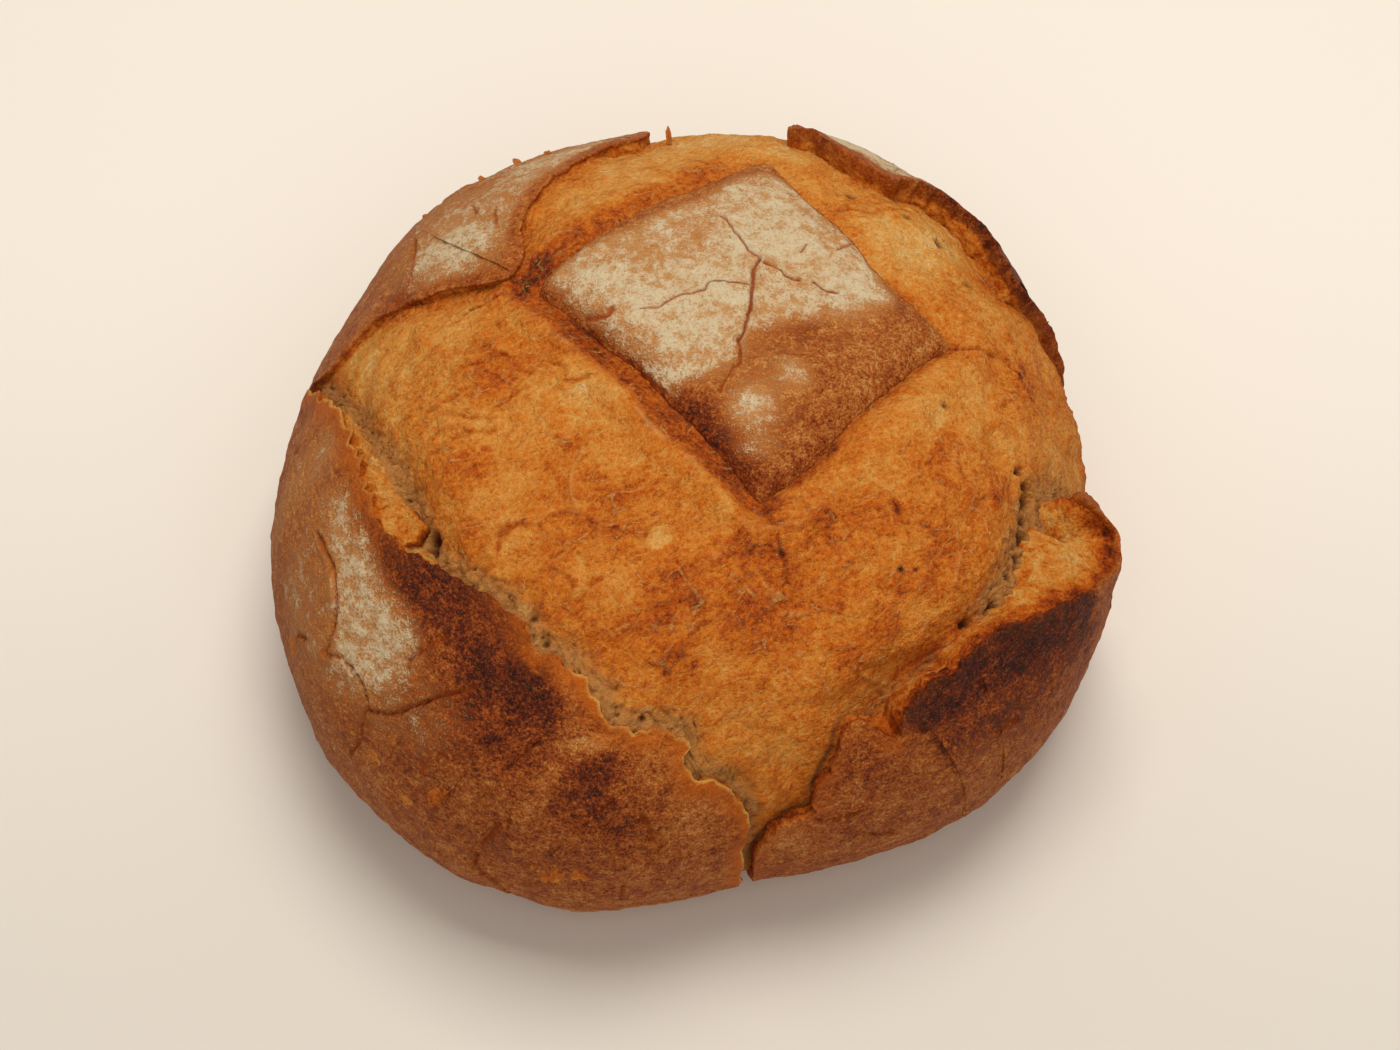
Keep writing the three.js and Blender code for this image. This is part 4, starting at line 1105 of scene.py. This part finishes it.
# For each flap: how ragged its edge is, how orange the edge glows, how lumpy and how brown the crust is,
# how brown the torn face is, over how many millimetres and how much it pales, the thickness of the rim and
# how much browner the foot of the torn face is. Then its cracks, floured and charred areas as on the crown,
# soft patches of flour and char, dull patches where the edge doesn't glow, and tan patches without flour.
flapPieces = {
    "frontLeft": {
        "columns": 540, "ragged": 1.35, "glow": 1.0, "lumps": 0.95, "tone": 0.46, "faceTone": 0.66,
        "facePale": 7.0,
        "palest": 0.4, "rim": 1.2, "foot": 0.1,
        "cracks": [
            [0.61, 1.4, [[199.3, 112.3], [204, 110.8], [207.3, 110.8], [210.7, 113.7], [213.7, 122],
                         [214, 125.9]]],
            [0.48, 1.1, [[214, 126.9], [216.3, 122.5], [218.7, 122], [221.7, 123], [224, 127.4]]],
            [0.61, 1.4, [[223.7, 127.9], [227, 123.5], [229.3, 118.1], [232.3, 110.3], [237, 102.5]]],
            [0.48, 1.1, [[223.7, 127.9], [223.7, 133.3], [224.3, 138.1], [223.3, 146.9]]],
            [0.54, 1.3, [[225.7, 107.4], [227, 102], [229, 95.7]]],
            [0.34, 0.85, [[226, 107.4], [227.7, 111.3], [229.7, 114.7]]],
            [0.48, 0.95, [[234.3, 130.8], [235, 125.9], [236.7, 122]]],
            [0.7, 1.7, [[243, 158.2], [244, 147.4], [245.7, 137.7], [247.3, 133.8]]],
            [0.7, 1.7, [[243, 159.1], [245, 163], [247, 172.8]]],
            [0.7, 1.6, [[263.7, 128.4], [265, 133.3], [265.3, 138.6]]],
            [0.48, 0.95, [[261.7, 153.8], [261.3, 163]]], [0.48, 0.95, [[207, 137.7], [209.7, 131.3]]],
        ],
        "flourAreas": [
            [0.5, 7.0, [[194.7, 106], [194.7, 98.6], [197.7, 94.5], [203.7, 96], [212.7, 96], [222, 97.5],
                        [226, 100], [228, 106], [227, 116], [223, 126], [219, 126], [213.7, 122],
                        [209, 114.7], [201.7, 109.8]]],
            [0.34, 10.0, [[195.7, 126], [193.7, 116], [190, 106], [195, 100.6], [204, 97], [213, 98],
                          [226, 101], [234, 104], [239, 111], [236, 124], [227, 132], [219, 136],
                          [206, 142], [199.7, 141]]],
        ],
        "flour": [[188, 118, 10, 28, 114, 0.55], [205, 150, 60, 26, 115, 0.16],
                  [240, 150, 60, 24, 160, 0.08]],
        "charAreas": [
            [0.86, 3.0, [[208, 92], [217, 83], [227, 78], [236, 78], [246, 82], [248, 91], [251, 99],
                         [250, 105], [244.7, 106.5], [236.7, 101], [226, 96], [215, 97]]],
            [0.42, 4.0, [[254.5, 113], [258, 108], [261.3, 111], [259, 120], [256.3, 122]]],
            [0.5, 8.0, [[214, 96], [228, 88], [246, 98], [260, 112], [268, 124], [262, 140], [246, 126],
                        [232, 108]]],
        ],
        "char": [[250, 140, 34, 18, 160, 0.25], [205, 95, 14, 4, 120, 0.3], [234, 113, 22, 12, 155, 0.4]],
        "dull": [[222, 87, 26, 13, 130, 1.0], [233, 87, 11, 9, 140, 0.5]],
        "tan": [[254.5, 107.5, 7, 3.2, 171, 1.3], [251, 119, 12, 3.5, 62, 0.7], [249.5, 127, 7, 3, 50, 0.6],
                [259, 181, 24, 4, 169, 1.0], [262, 105, 8, 4, 160, 0.5], [190, 124, 15, 30, 114, 0.4]],
    },
    "frontRight": {
        "columns": 520, "ragged": 0.9, "glow": 0.4, "lumps": 0.95, "tone": 0.5, "faceTone": 0.84,
        "facePale": 15.0,
        "palest": 0.5, "rim": 2.8, "foot": 0.3,
        "cracks": [
            [0.54, 1.1, [[315, 136.7], [316.3, 135.2], [318, 137.2]]],
            [0.41, 0.95, [[288, 141.6], [290.7, 142.5], [294.3, 141.6]]],
            [0.48, 1.1, [[292, 149.4], [294.7, 154.3], [298.3, 159.6]]],
            [0.48, 0.95, [[339.3, 142], [341.7, 146.4]]],
        ],
        "flourAreas": [],
        "flour": [[320, 140, 60, 20, 50, 0.1]],
        "charAreas": [
            [1.0, 3.0, [[303, 106], [311.7, 104], [320.7, 104], [328, 109], [333, 116], [335, 126],
                        [332, 132], [326, 129], [318.7, 124], [310, 122.5], [304, 122], [302, 116]]],
            [0.45, 7.0, [[302.3, 119.5], [313.3, 118], [325.3, 122], [337, 133], [337, 142], [330.7, 140],
                         [316, 138], [306, 131]]],
        ],
        "char": [[297, 126, 10, 9, 8, 0.3], [325, 134, 40, 14, 32, 0.3], [344, 138, 12, 6, 75, 0.35]],
        "dull": [[316, 114, 34, 12, 38, 1.0], [334, 126, 22, 11, 50, 0.9]],
        "tan": [[339, 161, 8, 40, 92, 0.5], [284, 150, 6, 6, 0, 0.5]],
    },
    "backRight": {
        "columns": 520, "ragged": 1.2, "glow": 0.3, "lumps": 0.6, "tone": 0.6, "faceTone": 0.58,
        "facePale": 30.0,
        "palest": 0.2, "rim": 4.2, "foot": -0.18,
        "cracks": [[0.54, 1.1, [[40, 120], [44, 128], [45, 140]]],
                   [0.48, 1, [[62, 112], [58, 122], [60, 136]]]],
        "flourAreas": [], "charAreas": [],
        "flour": [[63, 106, 20, 9, 155, 0.9], [56, 122, 30, 18, 140, 0.7], [20, 160, 30, 16, 100, 0.2]],
        "char": [[42, 113, 22, 7, 130, 0.65], [28, 118, 16, 7, 115, 0.65]],
        "dull": [[42, 113, 26, 10, 130, 0.9], [28, 118, 18, 10, 115, 0.9]],
        "tan": [],
    },
    "backLeft": {
        "columns": 500, "ragged": 0.8, "glow": 0.25, "lumps": 0.7, "tone": 0.46, "faceTone": 0.6,
        "facePale": 8.0,
        "palest": 0.35, "rim": 1.3, "foot": 0.0,
        "cracks": [
            [0.61, 1.5, [[142, 109.3], [144.7, 105], [149.7, 100.6], [154.3, 99.1], [157, 98.6]]],
            [0.48, 1.1, [[131.7, 98.1], [133.7, 91.8]]], [0.41, 0.95, [[141, 87.4], [138.3, 86.9]]],
            [0.41, 0.95, [[135, 79.6], [131, 86.9]]], [0.54, 1.2, [[127, 123], [130, 123.5]]],
            [0.54, 1.2, [[118, 112], [124, 108], [128, 112]]],
            [0.54, 1.2, [[105, 130], [112, 124], [120, 126]]],
        ],
        "flourAreas": [], "charAreas": [],
        "flour": [[135, 88, 22, 22, 43, 0.6], [112, 98, 24, 20, 47, 0.6], [146, 94, 15, 19, 72, 0.5],
                  [125, 125, 60, 26, 40, 0.35], [100, 130, 40, 30, 40, 0.3]],
        "char": [[155, 100, 20, 7, 60, 0.3]],
        "dull": [],
        "tan": [[148, 108, 14, 6, 60, 0.5]],
    },
}


def hermite(t):
    # Weights of the start and of the two slopes on a Hermite curve from 0 to 1.
    return 2 * t**3 - 3 * t**2 + 1, t**3 - 2 * t**2 + t, t**3 - t**2


def makeFlap(name):
    # The torn edge swept from its root up the torn face, round the rim, down the outer surface and back
    # inside.
    s, own = flaps, flapPieces[name]
    u = np.linspace(0, 1, own["columns"])[:, None]
    line, intoA, intoB = edgeFrame(tornEdges[name], u[:, 0])
    la, lb, lipStand, curl = (line[:, k][:, None] for k in range(4))
    intoA, intoB = intoA[:, None], intoB[:, None]
    ha, hb = chart(mix(tornRows[name][0][0], tornRows[name][-1][0], u), s["hemReach"])
    span = np.hypot(ha - la, hb - lb)

    def hem(reach):
        return 1 - ramp(reach, s["hemReach"] - s["hemFade"], s["hemReach"])

    lipHem = hem(np.hypot(la, lb))
    lip = mix(-s["hemDepth"], lipStand, lipHem)
    rimWobble = 0.35 * latticeNoise(np.stack([la, lb, 0 * la], axis=-1), 6, 406)
    rimFoot = lip - np.minimum(own["rim"] * (1 + rimWobble), lip + s["hemDepth"])
    lipFlat = np.stack([la, lb, 0 * la + 7], axis=-1)
    jagged = 0.8 * latticeNoise(lipFlat, 3.3, 402) + 0.5 * latticeNoise(lipFlat, 1.3, 403)
    jagged = (0.4 + 1.4 * ramp(latticeNoise(lipFlat, 13, 407), -0.3, 0.6)) * jagged
    ragged = (1.3 * latticeNoise(lipFlat, 8, 401) + jagged) * own["ragged"] * lipHem
    lipLift = 0.4 * latticeNoise(lipFlat, 5, 404) + 0.2 * latticeNoise(lipFlat, 1.6, 405)
    lipLift *= own["ragged"] * lipHem * np.minimum(1, lipStand / 4)

    # The torn face, from its root at 0 to the rim at 1.
    f = np.linspace(0, 1, s["tornRows"])[None, :]
    tornAside = curl * lipHem * (1 - f)**1.2 + 0.4 * lipHem * f + ragged * f
    tornStand = mix(-s["rootDepth"], rimFoot - 0.2 + lipLift, f**0.9)
    # The rim is a half round from the torn face to the outer surface.
    g = (np.arange(1, s["rimRows"] + 1) / (s["rimRows"] + 1))[None, :] * math.pi
    rimAside = 0.4 * lipHem * (1 + np.cos(g)) / 2 + ragged - 0.35 * np.sin(g) * lipHem
    rimStand = mix(rimFoot, lip, (1 - np.cos(g)) / 2) + lipLift
    # The outer surface and the way back inside are Hermite curves that leave the edge and meet the hem
    # squarely.
    t = np.linspace(0, 1, s["outerRows"])[None, :]**1.35
    i = np.linspace(1, 0.12, s["insideRows"])[None, :]
    down = []
    for way, hold in ((t, bell(t * span, 5) * ragged), (i, 0)):
        start, leave, arrive = hermite(way)
        leave = 0.8 * span * leave + hold
        arrive = 0.8 * span * arrive / s["hemReach"]
        down.append((start * la + (1 - start) * ha + leave * intoA + arrive * ha,
                     start * lb + (1 - start) * hb + leave * intoB + arrive * hb))
    (outA, outB), (inA, inB) = down
    proud = s["stand"] + (lipStand - s["stand"]) * np.exp(-t * span / s["standFade"])
    swell = 0.5 * unevenness(outA + 40, outB) * np.minimum(1, 3 * t)
    outStand = mix(-s["hemDepth"], proud + swell, hem(np.hypot(outA, outB))) + lipLift * bell(t * span, 4)

    a = np.hstack([la + tornAside * intoA, la + rimAside * intoA, outA, inA])
    b = np.hstack([lb + tornAside * intoB, lb + rimAside * intoB, outB, inB])
    stand = np.hstack([tornStand, rimStand, outStand, 0 * inA - s["depth"]])
    face = slice(0, s["tornRows"])
    rim = slice(face.stop, face.stop + s["rimRows"])
    outside = slice(rim.stop, rim.stop + s["outerRows"])
    torn, outer, edge = np.zeros(a.shape), np.zeros(a.shape), np.full(a.shape, 60.0)
    torn[:, face] = 1
    torn[:, rim] = np.linspace(1, 0, s["rimRows"] + 2)[1:-1]**3
    outer[:, outside] = ramp(t * span, -1, 4)
    edge[:, face] = -(1 - f) * (np.abs(curl) + lipStand + s["rootDepth"])
    edge[:, rim] = 0
    edge[:, outside] = t * span

    flat = np.stack([a, b, stand], axis=-1)
    points = skin(a, b, stand)
    groove, inside = cutCracks(a, b, flat, own["cracks"])
    lumps = 0.7 * cloudNoise(points, 16, 2, 411) + 0.4 * cloudNoise(points, 4.5, 3, 421)
    crustRelief = (own["lumps"] * lumps + groove) * outer * hem(np.hypot(a, b))
    tornRelief = 1.2 * cloudNoise(points, 7, 4, 431) - 0.9 * ridgeNoise(points, 5.0, 3, 441) + 0.3
    rise = np.sin(0.5 * math.pi * np.minimum(f / 0.86, 1))**2 * (1 - 0.6 * ramp(f, 0.8, 1))
    tornRelief *= torn * np.hstack([rise, np.full((1, a.shape[1] - s["tornRows"]), 0.3)])
    points = points + gridNormals(points) * (crustRelief + tornRelief * lipHem)[..., None]
    endPoint = skin(la[[0, -1]], lb[[0, -1]], 0 * la[[0, -1]] - s["hemDepth"] - 1)
    points[0], points[-1] = endPoint[0], endPoint[1]
    points[..., 2] = np.maximum(points[..., 2], 0.05)
    pales = ramp(-edge, 0.5, own["facePale"])
    # Painted shade in hollows of the torn face: darker where a noise is low.
    faceHollowMask = ramp(-cloudNoise(points, 5, 3, 431), 0.2, 0.9)
    foot = np.hstack([1 - ramp(f, 0.25, 0.55) + 0 * la, np.zeros((len(la), a.shape[1] - s["tornRows"]))])
    foot = foot * ramp(cloudNoise(points, 4.5, 3, 461), -0.35, 0.25)
    uneven = 0.85 + 0.4 * cloudNoise(flat, 12, 2, 451)
    tan = covered(a, b, own["tan"])
    charred = covered(a, b, own["char"])
    for strength, soft, places in own["charAreas"]:
        charred = 1 - (1 - charred) * (1 - strength * area(a, b, places, soft))
    fields = {
        "tone": own["tone"] + s["charTone"] * charred - s["tanTone"] * tan,
        "edge": edge,
        "torn": torn,
        "faceTone": (own["faceTone"] - own["palest"] * pales + s["faceHollowShade"] * faceHollowMask
                     + own["foot"] * foot),
        "glow": np.clip(own["glow"] * uneven, 0, 1) * (1 - covered(a, b, own["dull"])),
        "flour": floured(a, b, own) * ramp(edge, 1.5, 7) * (1 - tan),
        "crack": inside * outer * 0.9,
        "around": roundAbout(a, b),
    }
    addMesh(name + "_crust", [loft(points, fields)], crustMaterial)


for name in flapPieces:
    makeFlap(name)


# Small torn scales and standing flakes on the broken edges

scales = {
    "spokes": 72,
    "rings": 14,
    "flakeFoot": 3.0,
    # Bearing, reach, half length, half width, turn, stand of the middle, tilt outwards, tone, pocket
    # radius.
    "rows": [[207.5, 87.8, 7.6, 4.6, 140, 2.2, 0.35, 0.3, 3.2],
             [312, 112.5, 4.0, 1.6, 35, 4.5, 0.1, 0.7, 0]],
    # Flakes that stand on edge: bearing, reach, length, height, turn, lean.
    "flakes": [[93.3, 104, 1.8, 2.6, 20, 0.3], [118, 119, 3, 1.4, 50, 0.5], [113, 119, 2.5, 1.0, 20, 0.2],
               [134.7, 123, 3, 1.3, 40, 0.4], [124, 121, 2.5, 0.9, 60, 0.6],
               [23.5, 133, 3.5, 3.0, 110, 0.2], [62, 104, 12, 1.2, 150, 1.6], [346, 118, 2.5, 1.0, 70, 0.4],
               [344.5, 121, 2.5, 0.9, 80, 0.4]],
}


def scaleLoft(row):
    # A thin ragged plate: rings from its middle out to a wavy edge, then back underneath.
    s = scales
    bearing, reach, halfLength, halfWidth, turn, middle, tilt, tone, pocket = row
    ca, cb = chart(bearing, reach)
    angle = np.linspace(0, 2 * math.pi, s["spokes"] + 1)[None, :-1]
    share = np.concatenate([np.linspace(0.02, 1, s["rings"]), np.linspace(1, 0.02, 5)])[:, None]
    noiseAt = np.stack([np.cos(angle) * 3 + ca, np.sin(angle) * 3 + cb, 0 * angle], axis=-1)
    edge = 1 + 0.25 * latticeNoise(noiseAt, 2.6, 501) + 0.12 * latticeNoise(noiseAt, 0.9, 502)
    along, across = share * edge * halfLength * np.cos(angle), share * edge * halfWidth * np.sin(angle)
    cos, sin = turned(turn)
    a, b = ca + along * cos - across * sin, cb + along * sin + across * cos
    outward = (a * ca + b * cb) / reach - reach
    flat = np.stack([a, b, 0 * a], axis=-1)
    top = (np.arange(len(share)) < s["rings"])[:, None]
    relief = 0.5 * cloudNoise(flat, 4, 2, 503) + 0.3 * cloudNoise(flat, 1.3, 2, 504)
    dent = bell(np.hypot(along + 0.2 * halfLength, across), pocket) if pocket else 0 * a
    stand = middle + tilt * outward + relief * (1 - dent) - 1.8 * dent
    stand = np.where(top, stand - 0.5 * share**6, middle + tilt * outward - 4.5)
    # The pocket is painted darker as painted shade.
    fields = {
        **bareFields(a, b),
        "tone": 0 * a + 0.5,
        "edge": 0 * a - 2,
        "torn": 0 * a + 1,
        "faceTone": tone + 0.35 * dent + 0.3 * share**6 * np.ones_like(a) - 0.15 * relief,
    }
    return loft(skin(a, b, stand), fields)


def flakeLoft(row):
    # A thin leaning blade: a flat loop carried along its length, highest in the middle and sunk at its
    # foot.
    bearing, reach, length, height, turn, lean = row
    ca, cb = chart(bearing, reach)
    u = np.linspace(0, 1, 40)[:, None]
    loop = np.linspace(0, 2 * math.pi, 25)[None, :-1]
    taper = np.sin(math.pi * u)**0.5
    seedAt = np.stack([u * length + bearing, 0 * u, 0 * u], axis=-1)
    rise = height * taper * (1 + 0.4 * latticeNoise(seedAt, 1.6, 511) + 0.3 * latticeNoise(seedAt, 0.6, 512))
    level = mix(-scales["flakeFoot"], rise, 0.5 + 0.5 * np.sin(loop))
    along = (u - 0.5) * length + 0 * loop
    across = 0.35 * taper * np.cos(loop) + lean * np.maximum(level, 0) + 0.4 * np.sin(6 * u)
    cos, sin = turned(turn)
    a, b = ca + along * cos - across * sin, cb + along * sin + across * cos
    points = skin(a, b, flaps["stand"] + level)
    fields = {**bareFields(a, b), "tone": 0 * a + 0.15, "edge": 0 * a + 3, "glow": 0 * a + 0.6}
    return loft(points, fields)


addMesh("torn_scales", [scaleLoft(row) for row in scales["rows"]], crustMaterial)
addMesh("crust_flakes", [flakeLoft(row) for row in scales["flakes"]], crustMaterial)


# Floor, light and camera

studio = {
    # The floor colour goes from a lit far colour to a greyer near one: painted shade standing in for the
    # light falling off towards the viewer.
    "floorFarLit": "#f1e7d9",
    "floorNearShaded": "#dcd3c6",
    "floorShadeFade": (-0.2, 0.15),
    "floorHalf": 3,
    "skyStrength": 0.32,
    "keyPlace": (0.12, 0.34, 1.55),
    "keySize": 0.8,
    "keyEnergy": 17.3,
    "fillPlace": (0.1, -1.0, 1.2),
    "fillSize": 1.4,
    "fillEnergy": 6.5,
    "lightColour": (1.0, 0.97, 0.93),
    "lit": (0, 0, 0.05),
}
cameraView = {
    "elevation": 60.0,
    "distance": 0.75,
    "across": 30.5,
    "target": (0.0036, -0.0142, 0.055),
}


def makeFloor():
    # Studio paper: matt and cream, painted greyer towards the viewer as painted shade where the light falls
    # off.
    material, place = startMaterial("pale_floor", {}, ())[:2]
    depth = addNode(material, "SeparateXYZ", {"Vector": place}, give="Y")
    near, away = studio["floorShadeFade"]
    litShare = addNode(material, "MapRange", {0: depth, 1: near, 2: away}, **eased)
    base = layerColours(material, colour(studio["floorNearShaded"]), [(colour(studio["floorFarLit"]), litShare)])
    surface = {"Base Color": base, "Roughness": 0.9, "Specular IOR Level": 0.1}
    shader = addNode(material, "BsdfPrincipled", surface)
    addNode(material, "OutputMaterial", {"Surface": shader})
    mesh = bpy.data.meshes.new("floor")
    h = studio["floorHalf"]
    mesh.from_pydata([(-h, -h, 0), (h, -h, 0), (h, h, 0), (-h, h, 0)], [], [(0, 1, 2, 3)])
    mesh.materials.append(material)
    floor = bpy.data.objects.new("floor", mesh)
    bpy.context.scene.collection.objects.link(floor)


def makeLight(name, place, size, energy):
    # A square soft light, slightly warm, that faces the loaf.
    lamp = bpy.data.lights.new(name, "AREA")
    lamp.size = size
    lamp.energy = energy
    lamp.color = studio["lightColour"]
    light = bpy.data.objects.new(name, lamp)
    light.location = place
    light.rotation_euler = (Vector(studio["lit"]) - Vector(place)).to_track_quat("-Z", "Y").to_euler()
    bpy.context.scene.collection.objects.link(light)


def makeCamera():
    # The target is where the axis of the lens passes, so the frame's middle shows it.
    s = cameraView
    angle = math.radians(s["elevation"])
    target = Vector(s["target"])
    place = target + s["distance"] * Vector((0, -math.cos(angle), math.sin(angle)))
    data = bpy.data.cameras.new("camera")
    data.sensor_fit = "HORIZONTAL"
    data.sensor_width = 36.0
    data.lens = 18.0 / math.tan(math.radians(s["across"]) / 2)
    data.clip_start = 0.01
    camera = bpy.data.objects.new("camera", data)
    camera.location = place
    camera.rotation_euler = (target - place).to_track_quat("-Z", "Y").to_euler()
    bpy.context.scene.collection.objects.link(camera)
    bpy.context.scene.camera = camera


makeFloor()
makeLight("key", studio["keyPlace"], studio["keySize"], studio["keyEnergy"])
makeLight("fill", studio["fillPlace"], studio["fillSize"], studio["fillEnergy"])
world = bpy.data.worlds.new("studio")
world.use_nodes = True
world.node_tree.nodes["Background"].inputs[0].default_value = (1.0, 0.98, 0.95, 1)
world.node_tree.nodes["Background"].inputs[1].default_value = studio["skyStrength"]
bpy.context.scene.world = world
bpy.context.scene.view_settings.view_transform = "Standard"
makeCamera()
print("studio ready")
